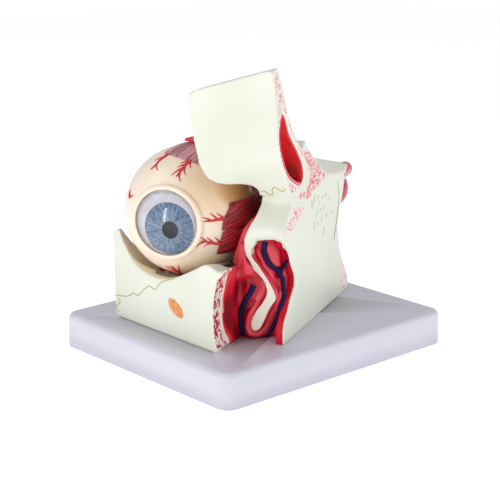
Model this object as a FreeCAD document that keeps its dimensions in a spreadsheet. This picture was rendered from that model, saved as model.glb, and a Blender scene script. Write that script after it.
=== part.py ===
import FreeCAD, Part
import math
import os

import Sketcher
from FreeCAD import Rotation, Vector

# A dissectible model of the right eye at three times life size, lying in the floor and inner wall
# of its bony socket, on a flat moulded base.  Millimetres, +Z up, origin under the middle of the
# base.  Three frames are used:
#   base frame  X across the base, Y towards its back edge;
#   bone frame  turned by bone_turn about Z and standing on the base's top face, with its X along
#               the sideways direction (0 on the cut middle plane of the head, minus towards the
#               temple), its Y towards the back of the head and its Z up;
#   eye frame   the bone frame moved to the middle of the eyeball, which looks along its -Y.

SIZES = (
    # base
    ("base_length", 166.0, "base, front edge to back edge"),
    ("base_width", 143.0, "base, side to side"),
    ("base_height", 20.0, "base, table to its top face"),
    ("base_wall", 3.0, "wall of the hollow base"),
    ("base_corner", 8.0, "radius of the base's upright corners"),
    ("base_edge", 3.0, "rounding of the base's top edge"),
    ("base_taper", 1.0, "draft of the base's sides, degrees"),
    ("foot_diameter", 12.0, "rubber foot"),
    ("foot_height", 4.0, "rubber foot, of which foot_stand shows below the rim"),
    ("foot_stand", 0.8, "gap between the table and the base's rim"),
    ("foot_inset", 16.0, "foot axis from the base's edges"),
    ("post_diameter", 15.0, "post and screw boss under the base's top"),
    ("boss_length", 6.0, "screw boss below the base's top wall"),
    # screws that hold the bone castings on the base
    ("screw_diameter", 4.0, "self-tapping screw"),
    ("screw_length", 22.0, "screw below its head"),
    ("head_diameter", 8.0, "screw head"),
    ("head_height", 2.6, "screw head"),
    ("screw_play", 0.25, "clearance of a screw in its boss, on the radius"),
    # bone castings
    ("bone_turn", 27.0, "bone frame about Z, degrees"),
    ("bone_across", 32.5, "bone frame's foot on the base, X"),
    ("bone_along", 16.6, "bone frame's foot on the base, Y"),
    ("front_inset", 18.5, "cheek face behind the base's front edge"),
    ("wall_width", 27.0, "inner wall block, cut face to temple side"),
    ("septum_width", 5.0, "middle wall of the nose"),
    ("rim_recess", 14.0, "space beside the eyeball, its back in front of the bone frame's foot"),
    ("floor_rise", 11.0, "skull floor, cut face to where it is highest"),
    ("nose_top", 54.0, "top of the nose opening"),
    ("nose_depth", 24.0, "back wall of the nose opening, in front of the bone frame's foot"),
    ("brow_width", 52.0, "forehead bone before it is cut to outline"),
    ("sinus_depth", 11.0, "forehead hollow, from the cut face"),
    ("lining_wall", 1.2, "red lining of the forehead hollow"),
    ("nerve_depth", 6.0, "cheek nerve plug in its hole"),
    ("nerve_sink", 0.5, "cheek nerve plug below the bone face"),
    ("sphenoid_radius", 11.5, "red hollow at the back of the skull floor"),
    ("artery_radius", 4.6, "artery stump beside it"),
    ("artery_length", 18.0, "artery stump before its round end"),
    # eyeball
    ("eye_across", -64.0, "middle of the eyeball, bone frame X"),
    ("eye_along", -27.0, "middle of the eyeball, bone frame Y"),
    ("eye_height", 63.5, "middle of the eyeball above the base's top"),
    ("eyeball_diameter", 72.0, "eyeball, three times 24 mm"),
    ("sclera_wall", 4.0, "white outer coat"),
    ("choroid_wall", 2.0, "dark middle coat"),
    ("layer_gap", 0.3, "play between two coats"),
    ("cornea_diameter", 36.0, "hole for the clear window"),
    ("cornea_radius", 26.0, "curvature of the window"),
    ("cornea_wall", 1.5, "window"),
    ("lip_radius", 1.6, "raised lip round the window"),
    ("iris_diameter", 28.0, "blue iris"),
    ("iris_drop", 3.0, "iris below the middle of the window"),
    ("iris_shift", 1.5, "iris beside the middle of the window, towards the nose"),
    ("iris_wall", 1.3, "iris and the white ring round it"),
    ("pupil_diameter", 9.2, "hole in the iris"),
    ("lens_front", 30.0, "curvature of the lens's front face"),
    ("lens_back", 18.0, "curvature of the lens's back face"),
    ("lens_thickness", 11.5, "lens through its middle"),
    ("lens_setback", 1.2, "lens behind the iris"),
    ("lens_opening", 31.0, "front hole of the dark coat"),
    ("pin_diameter", 2.0, "locating pin in the seam"),
    ("pin_length", 6.0, "locating pin"),
    ("pin_play", 0.06, "play of a pin in the upper half, on the radius"),
    # eye muscles and nerve
    ("muscle_wall", 3.0, "muscle"),
    ("muscle_width", 25.0, "straight muscle where it meets the eyeball"),
    ("muscle_end", 7.4, "straight muscle at its back end"),
    ("muscle_gap", 0.15, "muscle to the eyeball"),
    ("seam_gap", 0.6, "gap between the halves of a divided muscle"),
    ("divided_lift", 0.4, "extra gap of a divided muscle to the eyeball"),
    ("nerve_diameter", 11.0, "optic nerve"),
    ("socket_gap", 1.0, "muscles to the bony socket"),
    ("seat_gap", 0.3, "eyeball to the rim it rests on"),
    ("apex_across", 26.0, "back end of the muscles, eye frame X"),
    ("apex_along", 79.0, "back end of the muscles, eye frame Y"),
    ("apex_up", 2.0, "back end of the muscles, eye frame Z"),
)

# Screw axes in the bone frame: two in the cheek block, two in the inner wall block.
CHEEK_SCREWS = ((-82.0, -34.0), (-44.0, -48.0))
WALL_SCREWS = ((-14.0, 4.0), (-13.0, 44.0))

doc = FreeCAD.newDocument("EyeModel")
sheet = doc.addObject("Spreadsheet::Sheet", "Sizes")
for row, (alias, value, note) in enumerate(SIZES, start=1):
    sheet.set("A%d" % row, alias)
    sheet.set("B%d" % row, str(value))
    sheet.set("C%d" % row, note)
    sheet.setAlias("B%d" % row, alias)
doc.recompute()


def size(alias):
    """The value of one cell of the sheet."""
    return float(getattr(sheet, alias))


# --- frames --------------------------------------------------------------------------------------

def turned(across, along):
    """Expressions for the base frame's X and Y of a point given in the bone frame."""
    cos, sin = "cos(Sizes.bone_turn)", "sin(Sizes.bone_turn)"
    x = "Sizes.bone_across + (%s) * %s - (%s) * %s" % (across, cos, along, sin)
    y = "Sizes.bone_along + (%s) * %s + (%s) * %s" % (across, sin, along, cos)
    return x, y


def placement_text(x, y, z, turn):
    """The expression of a placement at x, y, z, turned about Z."""
    return ("create(<<placement>>; create(<<vector>>; %s; %s; %s); "
            "create(<<rotation>>; create(<<vector>>; 0; 0; 1); %s))" % (x, y, z, turn))


def in_bone(thing, across="0", along="0", up="0"):
    """Place a thing in the bone frame."""
    x, y = turned(across, along)
    height = "Sizes.base_height + (%s)" % up
    thing.setExpression("Placement", placement_text(x, y, height, "Sizes.bone_turn"))
    return thing


def in_eye(thing, across="0", along="0", up="0"):
    """Place a thing in the eye frame."""
    return in_bone(thing, "Sizes.eye_across + (%s)" % across,
                   "Sizes.eye_along + (%s)" % along, "Sizes.eye_height + (%s)" % up)


def on_base(thing):
    """Place a thing on the base's top face, square to the base."""
    thing.setExpression("Placement", placement_text("0", "0", "Sizes.base_height", "0"))
    return thing


def bone_frame():
    """The bone frame as a placement."""
    foot = Vector(size("bone_across"), size("bone_along"), size("base_height"))
    return FreeCAD.Placement(foot, Rotation(Vector(0, 0, 1), size("bone_turn")))


def eye_frame():
    """The eye frame as a placement."""
    middle = Vector(size("eye_across"), size("eye_along"), size("eye_height"))
    return bone_frame() * FreeCAD.Placement(middle, Rotation())


# --- features ------------------------------------------------------------------------------------

def body(name):
    return doc.addObject("PartDesign::Body", name)


def plane(owner, role):
    """One of a body's own origin planes."""
    return next(item for item in owner.Origin.OriginFeatures if item.Role == role)


def sketch(owner, name, role, shift=None):
    """An empty sketch on an origin plane, moved along its normal by the expression shift."""
    made = owner.newObject("Sketcher::SketchObject", name)
    made.AttachmentSupport = [(plane(owner, role), "")]
    made.MapMode = "FlatFace"
    if shift:
        made.setExpression(".AttachmentOffset.Base.z", shift)
    return made


def run(points):
    """Straight edges from each point to the next."""
    ends = [Vector(x, y, 0) for x, y in points]
    return [Part.LineSegment(one, two) for one, two in zip(ends, ends[1:])]


def ring(points):
    """A closed outline of straight edges."""
    return run(list(points) + [points[0]])


def smooth(points):
    """One smooth curve through the points."""
    curve = Part.BSplineCurve()
    curve.interpolate([Vector(x, y, 0) for x, y in points])
    return [curve]


def smooth_ring(points):
    """One smooth closed curve through the points."""
    curve = Part.BSplineCurve()
    curve.interpolate([Vector(x, y, 0) for x, y in points], PeriodicFlag=True)
    return [curve]


def circle(target, diameter, x="0", y="0"):
    """A circle whose diameter and middle are bound to expressions."""
    number = target.addGeometry(Part.Circle(Vector(1, 1, 0), Vector(0, 0, 1), 1), False)
    for kind, value in (("Diameter", diameter), ("DistanceX", x), ("DistanceY", y)):
        if kind == "Diameter":
            rule = target.addConstraint(Sketcher.Constraint(kind, number, 1.0))
        else:
            rule = target.addConstraint(Sketcher.Constraint(kind, number, 3, 1.0))
        target.setExpression("Constraints[%d]" % rule, value)


def rectangle(target, across, along):
    """A rectangle about the origin, its two widths bound to expressions."""
    corners = ((-1, -1), (1, -1), (1, 1), (-1, 1))
    edges = target.addGeometry(ring(corners), False)
    for one, two in ((0, 1), (1, 2), (2, 3), (3, 0)):
        target.addConstraint(Sketcher.Constraint("Coincident", edges[one], 2, edges[two], 1))
    for edge, kind in ((0, "Horizontal"), (2, "Horizontal"), (1, "Vertical"), (3, "Vertical")):
        target.addConstraint(Sketcher.Constraint(kind, edges[edge]))
    target.addConstraint(Sketcher.Constraint("Symmetric", edges[0], 1, edges[1], 2, -1, 1))
    for edge, kind, value in ((0, "DistanceX", across), (1, "DistanceY", along)):
        rule = target.addConstraint(Sketcher.Constraint(kind, edges[edge], 1, edges[edge], 2, 2.0))
        target.setExpression("Constraints[%d]" % rule, value)


def feature(owner, kind, name, profile, length, reverse=False, through=False):
    """A pad or pocket of a sketch, its length bound to an expression."""
    made = owner.newObject("PartDesign::" + kind, name)
    made.Profile = profile
    made.Reversed = reverse
    if through:
        made.Type = 1
    else:
        made.setExpression("Length", length)
    return made


def prism(name, role, outline, length, reverse=False, shift=None):
    """A body that is one outline padded by length."""
    made = body(name)
    drawing = sketch(made, name + "_outline", role, shift)
    drawing.addGeometry(outline, False)
    feature(made, "Pad", name + "_pad", drawing, length, reverse)
    return made


def solid(kind, name, **sizes):
    """A Part primitive with its sizes bound to expressions."""
    made = doc.addObject("Part::" + kind, name)
    for key, value in sizes.items():
        made.setExpression(key, value)
    return made


def ball(name, radius):
    return solid("Sphere", name, Radius=radius)


def lying(thing, across, along, up):
    """Place a thing in the bone frame with its own Z towards the back of the head."""
    x, y = turned(across, along)
    thing.setExpression("Placement", (
        "create(<<placement>>; create(<<vector>>; %s; %s; Sizes.base_height + (%s)); "
        "create(<<rotation>>; Sizes.bone_turn; 0; -90))" % (x, y, up)))
    return thing


def sight_rod(name, radius, length, start, across="0", up="0"):
    """A rod along the eye's line of sight, from start (eye frame Y) backwards by length."""
    made = solid("Cylinder", name, Radius=radius, Height=length)
    return lying(made, "Sizes.eye_across + (%s)" % across, "Sizes.eye_along + (%s)" % start,
                 "Sizes.eye_height + (%s)" % up)


def zone(name, radius, low, high):
    """A ball about the eyeball's middle, kept between two corners given in the eye frame."""
    widths = ["(%s) - (%s)" % (far, near) for near, far in zip(low, high)]
    limits = in_eye(box(name + "_limits", *widths), *low)
    return join("MultiCommon", name, [in_eye(ball(name + "_ball", radius)), limits])


def box(name, length, width, height):
    return solid("Box", name, Length=length, Width=width, Height=height)


def join(kind, name, things):
    """A boolean of several objects: MultiFuse or MultiCommon."""
    made = doc.addObject("Part::" + kind, name)
    made.Shapes = things
    return made


def cut(name, stock, tool):
    made = doc.addObject("Part::Cut", name)
    made.Base = stock
    made.Tool = tool
    return made


def fixed(name, shape, frame):
    """A shape made with Part's own functions, in the given frame."""
    made = doc.addObject("Part::Feature", name)
    made.Shape = shape
    made.Placement = frame
    return made


KEPT = []


def keep(thing, label):
    """Note a finished piece under the name of its file."""
    thing.Label = label
    KEPT.append(thing)
    return thing


# --- base ----------------------------------------------------------------------------------------

def feet_places():
    """The four corners' foot axes, as expressions."""
    x = "(Sizes.base_width / 2 - Sizes.foot_inset)"
    y = "(Sizes.base_length / 2 - Sizes.foot_inset)"
    return [(side + x, end + y) for side in ("", "-") for end in ("", "-")]


def make_base():
    """The hollow moulded base with posts for its feet and bosses for its screws."""
    made = body("Base")
    outline = sketch(made, "base_outline", "XY_Plane", "Sizes.foot_stand")
    rectangle(outline, "Sizes.base_width", "Sizes.base_length")
    block = feature(made, "Pad", "base_block", outline, "Sizes.base_height - Sizes.foot_stand")
    block.setExpression("TaperAngle", "-Sizes.base_taper")
    doc.recompute()
    corners = made.newObject("PartDesign::Fillet", "base_corners")
    corners.Base = (block, edges_of(block.Shape, upright))
    corners.setExpression("Radius", "Sizes.base_corner")
    doc.recompute()
    rim = made.newObject("PartDesign::Fillet", "base_rim")
    rim.Base = (corners, edges_of(corners.Shape, at_height(size("base_height"))))
    rim.setExpression("Radius", "Sizes.base_edge")

    hollow = sketch(made, "hollow_outline", "XY_Plane", "Sizes.foot_stand")
    rectangle(hollow, "Sizes.base_width - 2 * Sizes.base_wall",
              "Sizes.base_length - 2 * Sizes.base_wall")
    inside = feature(made, "Pocket", "hollow", hollow,
                     "Sizes.base_height - Sizes.base_wall - Sizes.foot_stand", reverse=True)
    inside.setExpression("TaperAngle", "-Sizes.base_taper")

    posts = sketch(made, "post_outlines", "XY_Plane", "Sizes.foot_height")
    for x, y in feet_places():
        circle(posts, "Sizes.post_diameter", x, y)
    feature(made, "Pad", "posts", posts,
            "Sizes.base_height - Sizes.base_wall - Sizes.foot_height")

    screws = CHEEK_SCREWS + WALL_SCREWS
    roof = "Sizes.base_height - Sizes.base_wall"
    bosses = sketch(made, "boss_outlines", "XY_Plane", roof + " - Sizes.boss_length")
    for across, along in screws:
        circle(bosses, "Sizes.post_diameter", *turned(across, along))
    feature(made, "Pad", "bosses", bosses, "Sizes.boss_length")
    holes = sketch(made, "screw_holes", "XY_Plane")
    for across, along in screws:
        circle(holes, "Sizes.screw_diameter + 2 * Sizes.screw_play", *turned(across, along))
    feature(made, "Pocket", "screw_bores", holes, None, reverse=True, through=True)
    return keep(made, "base_plate")


def edges_of(shape, wanted):
    """Names of the edges that a test picks."""
    return ["Edge%d" % number for number, edge in enumerate(shape.Edges, start=1) if wanted(edge)]


def upright(edge):
    box_of_edge = edge.BoundBox
    return box_of_edge.ZLength > max(box_of_edge.XLength, box_of_edge.YLength)


def at_height(level):
    """A test for edges that lie flat at a level."""
    return lambda edge: edge.BoundBox.ZMin > level - 0.01


def make_feet():
    """Four rubber feet under the base's posts."""
    feet = []
    for number, (x, y) in enumerate(feet_places(), start=1):
        foot = solid("Cylinder", "Foot%d" % number, Radius="Sizes.foot_diameter / 2",
                     Height="Sizes.foot_height")
        foot.setExpression("Placement", placement_text(x, y, "0", "0"))
        feet.append(foot)
    made = doc.addObject("Part::Compound", "Feet")
    made.Links = feet
    return keep(made, "base_feet")


def make_screws():
    """The pan-head screws that come up through the base into the bone castings."""
    screws = []
    head_level = "Sizes.base_height - Sizes.base_wall - Sizes.boss_length - Sizes.head_height"
    for number, (across, along) in enumerate(CHEEK_SCREWS + WALL_SCREWS, start=1):
        x, y = turned(across, along)
        head = solid("Cylinder", "ScrewHead%d" % number, Radius="Sizes.head_diameter / 2",
                     Height="Sizes.head_height")
        head.setExpression("Placement", placement_text(x, y, head_level, "0"))
        shank = solid("Cylinder", "ScrewShank%d" % number, Radius="Sizes.screw_diameter / 2",
                      Height="Sizes.screw_length + Sizes.head_height")
        shank.setExpression("Placement", placement_text(x, y, head_level, "0"))
        screws.append(join("MultiFuse", "Screw%d" % number, [head, shank]))
    made = doc.addObject("Part::Compound", "Screws")
    made.Links = screws
    return keep(made, "mounting_screws")


def pilot_holes(places, name):
    """The screws' holes in a bone casting."""
    reach = "Sizes.screw_length - Sizes.base_wall - Sizes.boss_length"
    holes = []
    for number, (across, along) in enumerate(places, start=1):
        hole = solid("Cylinder", "%s%d" % (name, number), Radius="Sizes.screw_diameter / 2",
                     Height=reach + " + " + PAST)
        holes.append(in_bone(hole, str(across), str(along), "-" + PAST))
    return holes


# --- bone castings -------------------------------------------------------------------------------

MUSCLE_REACH = "Sizes.eyeball_diameter / 2 + Sizes.muscle_wall + Sizes.socket_gap"
# a length that reaches right through the model, and one that only passes a face it cuts
FAR = "260"
PAST = "5"
NERVE_MIDDLE = (8.0, 17.0)
NERVE_HALF_AXES = (7.0, 3.4)
NERVE_TILT = -28.0


def to_bone(x, y):
    """The bone frame's X and Y of a point on the base."""
    point = bone_frame().inverse().multVec(Vector(x, y, 0))
    return point.x, point.y


def cheek_plan():
    """The cheek block seen from above, bone frame, from its front left corner round."""
    front = size("front_inset") - size("base_length") / 2
    left = to_bone(-46.0, front)
    turn = math.radians(size("bone_turn"))
    wall = -size("wall_width")
    # where the cheek's front face meets the inner wall block's side
    along = (front - size("bone_along") - wall * math.sin(turn)) / math.cos(turn)
    temple = ((-107.0, -29.0), (-104.5, -15.0), (-97.5, 0.0), (-86.0, 15.0),
              (-68.0, 32.0), (-50.0, 48.0), (-38.0, 58.0), (wall, 60.0))
    return [left] + list(temple) + [(wall, along)]


def cheek_front():
    """The cheek block seen from the front, base X and height above the base."""
    rim = ((-49.0, 41.0), (-47.5, 47.0), (-43.5, 51.0), (-38.5, 51.5), (-35.8, 47.0),
           (-33.0, 40.0), (-28.0, 34.8), (-20.0, 31.8), (-9.6, 30.6), (3.5, 32.6),
           (16.0, 38.0), (29.0, 45.0), (38.0, 49.6), (46.0, 51.0), (60.0, 51.0))
    sides = ((60.0, 51.0), (60.0, 0.0), (-46.0, 0.0), (-47.5, 8.0), (-49.0, 41.0))
    return smooth(rim) + run(sides)


def cheek_side():
    """The cheek block's height along the bone frame's Y: high at the rim, low behind it."""
    floor = ((-40.0, 56.0), (-33.0, 50.0), (-25.0, 38.0), (-12.0, 29.0), (4.0, 27.5),
             (22.0, 33.0), (42.0, 41.0), (66.0, 47.0))
    back = ((66.0, 47.0), (66.0, 0.0), (-130.0, 0.0), (-130.0, 56.0), (-40.0, 56.0))
    return smooth(floor) + run(back)


def orbit_cone(name):
    """What the muscles need free behind the eyeball: a cone that narrows to the apex."""
    wide = size("eyeball_diameter") / 2 + size("muscle_wall") + size("socket_gap")
    narrow = size("nerve_diameter") / 2 + 2 * size("muscle_wall") + 2 * size("socket_gap")
    way = apex()
    lean = (wide - narrow) / way.Length
    start = way * (wide * lean / way.Length)
    past_apex = 8.0
    cone = Part.makeCone(wide * math.sqrt(1 - lean * lean), narrow,
                         way.Length + past_apex - wide * lean, start, way)
    return fixed(name, cone, eye_frame())


def make_cheek():
    """Cheek bone, upper jaw and socket floor: one block with the eyeball's bed in it."""
    plan = in_bone(prism("CheekPlan", "XY_Plane", ring(cheek_plan()), FAR))
    front = on_base(prism("CheekFront", "XZ_Plane", cheek_front(), FAR, shift="-%s / 2" % FAR))
    side = in_bone(prism("CheekSide", "YZ_Plane", cheek_side(), FAR, reverse=True))
    block = join("MultiCommon", "CheekBlock", [plan, front, side])

    bed = in_eye(ball("Bed", "Sizes.eyeball_diameter / 2 + Sizes.seat_gap"))
    lower_channel = zone("LowerChannel", MUSCLE_REACH,
                         ("-Sizes.muscle_width / 2 - 1.5", "-60", "-60"),
                         ("Sizes.muscle_width / 2 + 6.5", "0", "0"))
    temple_channel = zone("TempleChannel", MUSCLE_REACH + " + 1.5",
                          ("-72", "-60", "-27"), ("-12", "0", "23"))
    back_channel = zone("BackChannel", MUSCLE_REACH + " + 1.5",
                        ("-60", "-14", "-60"), ("60", "66", "60"))
    tools = [bed, lower_channel, temple_channel, back_channel, orbit_cone("CheekCone"),
             nerve_plug("NerveHole", "0")]
    tool = join("MultiFuse", "CheekTools", tools + pilot_holes(CHEEK_SCREWS, "CheekHole"))
    return keep(cut("Cheek", block, tool), "cheek_and_orbit_floor")


def nerve_plug(name, sink):
    """An oval rod square to the cheek face, from its bottom to the face or sink below it."""
    made = body(name)
    drawing = sketch(made, name + "_outline", "XZ_Plane")
    tilt = math.radians(NERVE_TILT)
    middle = Vector(*NERVE_MIDDLE, 0)
    along = Vector(math.cos(tilt), math.sin(tilt), 0) * NERVE_HALF_AXES[0]
    across = Vector(-math.sin(tilt), math.cos(tilt), 0) * NERVE_HALF_AXES[1]
    drawing.addGeometry(Part.Ellipse(middle + along, middle + across, middle), False)
    feature(made, "Pad", name + "_pad", drawing, "Sizes.nerve_depth - (%s)" % sink)
    bottom = "Sizes.front_inset - Sizes.base_length / 2 + Sizes.nerve_depth"
    made.setExpression("Placement", placement_text("0", bottom, "Sizes.base_height", "0"))
    return made


def make_nerve():
    """The nerve that shows in the cheek's hole."""
    return keep(nerve_plug("CheekNerve", "Sizes.nerve_sink"), "infraorbital_nerve")


WALL_PROFILE = (
    # the bridge of the nose, the front edge of the septum and the foot
    ((-42.0, 79.0), (-40.2, 76.5), (-42.5, 73.0), (-46.5, 69.5), (-51.5, 63.0), (-52.5, 58.0),
     (-51.0, 55.0), (-46.0, 52.0), (-42.0, 48.0), (-39.0, 41.6), (-35.0, 36.8), (-32.4, 32.0),
     (-33.0, 27.0), (-37.5, 23.0), (-43.5, 16.5), (-48.5, 12.5), (-50.7, 8.0), (-51.0, 0.0)),
    # the foot and the back of the block
    ((-51.0, 0.0), (63.0, 0.0)),
    ((63.0, 0.0), (62.0, 6.0), (57.8, 13.0), (51.5, 20.5), (45.6, 28.5), (42.6, 36.0),
     (41.4, 43.0), (43.0, 51.6), (48.8, 60.0), (53.0, 69.5), (60.5, 77.5)),
    # the floor of the skull, up to the crest behind the forehead
    ((60.5, 77.5), (48.0, 80.8), (30.0, 85.5), (14.0, 89.6), (2.0, 92.5), (-6.0, 96.0),
     (-12.0, 100.5), (-16.5, 104.3), (-20.0, 104.8), (-22.8, 101.0)),
    ((-22.8, 101.0), (-17.5, 79.0), (-42.0, 79.0)),
)


# The skull floor's upper edge on the cut face, where it is low, and a little way in, where it has
# risen; then round above it.
FLOOR_AT_CUT = ((-17.0, 102.4), (-8.3, 96.2), (0.2, 90.2), (9.3, 84.4), (20.4, 78.6),
                (31.0, 76.4), (52.5, 74.4), (61.0, 77.4), (70.0, 112.0), (-17.0, 112.0))
FLOOR_INSIDE = ((-17.0, 104.4), (-8.3, 97.8), (0.2, 93.6), (9.3, 91.2), (20.4, 88.4),
                (31.0, 85.6), (48.0, 81.2), (61.0, 77.8), (70.0, 112.0), (-17.0, 112.0))


def side_loft(name, outlines):
    """A body through outlines parallel to the cut face, each with its distance from it."""
    made = body(name)
    sections = []
    for number, (points, shift) in enumerate(outlines, start=1):
        section = sketch(made, "%s_section_%d" % (name, number), "YZ_Plane", shift)
        section.addGeometry(ring(points), False)
        sections.append(section)
    loft = made.newObject("PartDesign::AdditiveLoft", name + "_loft")
    loft.Profile = sections[0]
    loft.Sections = sections[1:]
    loft.Ruled = True
    return in_bone(made)


# The free edge of the inner wall beside the eyeball, bone frame X and height.
RIM = ((-80.0, 54.0), (-24.6, 54.0), (-24.2, 58.1), (-22.2, 62.8), (-19.9, 66.7), (-17.6, 70.0),
       (-15.7, 74.0), (-14.6, 77.4), (-14.2, 79.0), (-14.2, 86.0), (-80.0, 86.0))


def make_wall():
    """Inner wall of the socket, with the septum, the skull floor and its crest."""
    outline = []
    for stretch in WALL_PROFILE[:4]:
        outline += smooth(stretch) if len(stretch) > 3 else run(stretch)
    outline += run(WALL_PROFILE[4])
    block = in_bone(prism("WallBlock", "YZ_Plane", outline, "Sizes.wall_width", reverse=True))

    nose = in_bone(box("NoseSpace", FAR, FAR, "Sizes.nose_top + " + PAST),
                   "-%s - Sizes.septum_width" % FAR, "-%s - Sizes.nose_depth" % FAR, "-" + PAST)
    edge = in_bone(prism("RimSpace", "XZ_Plane", ring(RIM), FAR), along="-Sizes.rim_recess")
    side = in_eye(box("LiftSpace", FAR, FAR, FAR),
                  "-%s + %s" % (FAR, MUSCLE_REACH), "-%s / 2" % FAR, "0")
    floor = side_loft("FloorSpace", ((FLOOR_AT_CUT, "0.5"), (FLOOR_INSIDE, "-Sizes.floor_rise")))
    tools = [nose, edge, side, floor,
             in_eye(ball("WallBall", MUSCLE_REACH)), orbit_cone("WallCone"),
             sphenoid("SphenoidSeat"), artery("ArterySeat")]
    tool = join("MultiFuse", "WallTools", tools + pilot_holes(WALL_SCREWS, "WallHole"))
    return keep(cut("Wall", block, tool), "inner_orbit_wall")


SPHENOID_PLACE = ("-11.6", "58.5", "61.5")
ARTERY_PLACE = ("-5.2", "50.5", "71.6")


def sphenoid(name):
    """The red hollow at the back of the skull floor, a ball half sunk in the bone."""
    return lying(ball(name, "Sizes.sphenoid_radius"), *SPHENOID_PLACE)


def artery_rod(name, radius, length, before="0"):
    """A rod towards the back, in the artery's place, or starting a little before it."""
    across, along, up = ARTERY_PLACE
    rod = solid("Cylinder", name, Radius=radius, Height=length)
    return lying(rod, across, "%s - (%s)" % (along, before), up)


def artery(name):
    """The artery's stump: a short rod with a round end."""
    rod = artery_rod(name + "_rod", "Sizes.artery_radius", "Sizes.artery_length")
    across, along, up = ARTERY_PLACE
    tip = in_bone(ball(name + "_tip", "Sizes.artery_radius"), across,
                  along + " + Sizes.artery_length", up)
    return join("MultiFuse", name, [rod, tip])


def make_back_vessels():
    """The red hollow and the artery's stump that show behind the skull floor."""
    notch = artery_rod("SphenoidNotch", "Sizes.artery_radius + Sizes.seat_gap",
                       "Sizes.artery_length + 2 * Sizes.artery_radius", "Sizes.seat_gap")
    keep(cut("Sphenoid", sphenoid("SphenoidBall"), notch), "sphenoid_sinus")
    keep(artery("Artery"), "carotid_stump")


# Forehead bone: front to back outlines (bone frame Y, height) at the cut face, half way out and
# past the temple edge, all with their points in the same order.
BROW_AT_CUT = ((-71.0, 149.0), (-66.5, 137.0), (-63.8, 125.0), (-62.0, 112.0), (-56.5, 99.0),
               (-48.5, 88.0), (-42.0, 79.0), (-17.5, 79.0), (-22.8, 101.0), (-35.0, 111.0),
               (-45.0, 122.0), (-54.0, 138.0), (-63.0, 150.5))
BROW_HALF_WAY = ((-71.0, 149.0), (-67.5, 137.0), (-66.0, 125.0), (-64.8, 112.0), (-61.5, 99.0),
                 (-55.5, 90.0), (-46.0, 79.0), (-40.0, 79.0), (-43.5, 95.0), (-48.0, 108.0),
                 (-52.0, 121.0), (-57.5, 136.0), (-63.5, 150.5))
BROW_AT_TEMPLE = ((-71.5, 149.0), (-70.0, 137.0), (-69.2, 125.0), (-68.6, 112.0), (-68.0, 99.0),
                  (-67.2, 88.0), (-66.5, 74.0), (-61.0, 74.0), (-61.5, 92.0), (-62.0, 106.0),
                  (-62.6, 120.0), (-63.4, 136.0), (-64.5, 150.5))
BROW_OUTLINE = ((-4.0, 148.8), (-43.0, 137.0), (-45.6, 135.6), (-46.7, 133.0), (-46.1, 127.0),
                (-44.1, 111.0), (-42.0, 98.0), (-40.4, 93.0), (-38.2, 89.6), (-34.8, 87.2),
                (-30.4, 86.3), (-24.5, 86.2), (-19.4, 85.7), (-16.6, 84.0), (-14.8, 81.6),
                (-14.2, 79.0))


def make_brow():
    """Forehead bone with its hollow, cut away above the eyeball so that this lifts out."""
    shell = side_loft("Brow", ((BROW_AT_CUT, "0"), (BROW_HALF_WAY, "-Sizes.wall_width + 3"),
                               (BROW_AT_TEMPLE, "-Sizes.brow_width")))
    edge = [(4.0, 79.0), (4.0, 151.4)] + list(BROW_OUTLINE)
    outline = in_bone(prism("BrowOutline", "XZ_Plane", ring(edge), FAR, shift="-%s / 2" % FAR))
    plate = join("MultiCommon", "BrowPlate", [shell, outline])
    way = in_eye(solid("Cylinder", "BrowWay", Radius=MUSCLE_REACH, Height=FAR))
    tools = join("MultiFuse", "BrowTools", [way, sinus_hollow("SinusHollow", None, "0")])
    return keep(cut("BrowBone", plate, tools), "forehead_bone")


SINUS_OUTLINE = ((-56.0, 125.0), (-58.9, 119.5), (-59.4, 112.0), (-56.3, 104.0), (-50.8, 96.2),
                 (-41.7, 88.6), (-32.0, 84.0), (-25.2, 82.6), (-21.8, 85.6), (-22.6, 91.0),
                 (-29.0, 99.2), (-36.0, 105.6), (-43.0, 111.6), (-48.5, 118.6), (-53.0, 124.4))


def inset(points, amount):
    """A ring of points, each moved inwards by amount; the ring runs anticlockwise."""
    moved = []
    for before, here, after in zip(points[-1:] + points[:-1], points, points[1:] + points[:1]):
        way = Vector(after[0] - before[0], after[1] - before[1], 0).normalize()
        moved.append((here[0] - way.y * amount, here[1] + way.x * amount))
    return moved


def sinus_hollow(name, wall, over):
    """The forehead hollow: less a wall all round, and reaching over the cut face."""
    outline = smooth_ring(inset(SINUS_OUTLINE, size(wall) if wall else 0.0))
    made = body(name)
    drawing = sketch(made, name + "_outline", "YZ_Plane", over)
    drawing.addGeometry(outline, False)
    depth = "Sizes.sinus_depth + (%s)" % over
    feature(made, "Pad", name + "_pad", drawing, depth + (" - Sizes." + wall if wall else ""),
            reverse=True)
    return in_bone(made)


def make_lining():
    """Red lining of the forehead hollow: walls and bottom."""
    outer = sinus_hollow("LiningOuter", None, "0")
    inner = sinus_hollow("LiningInner", "lining_wall", "1")
    return keep(cut("Lining", outer, inner), "frontal_sinus_lining")


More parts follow.
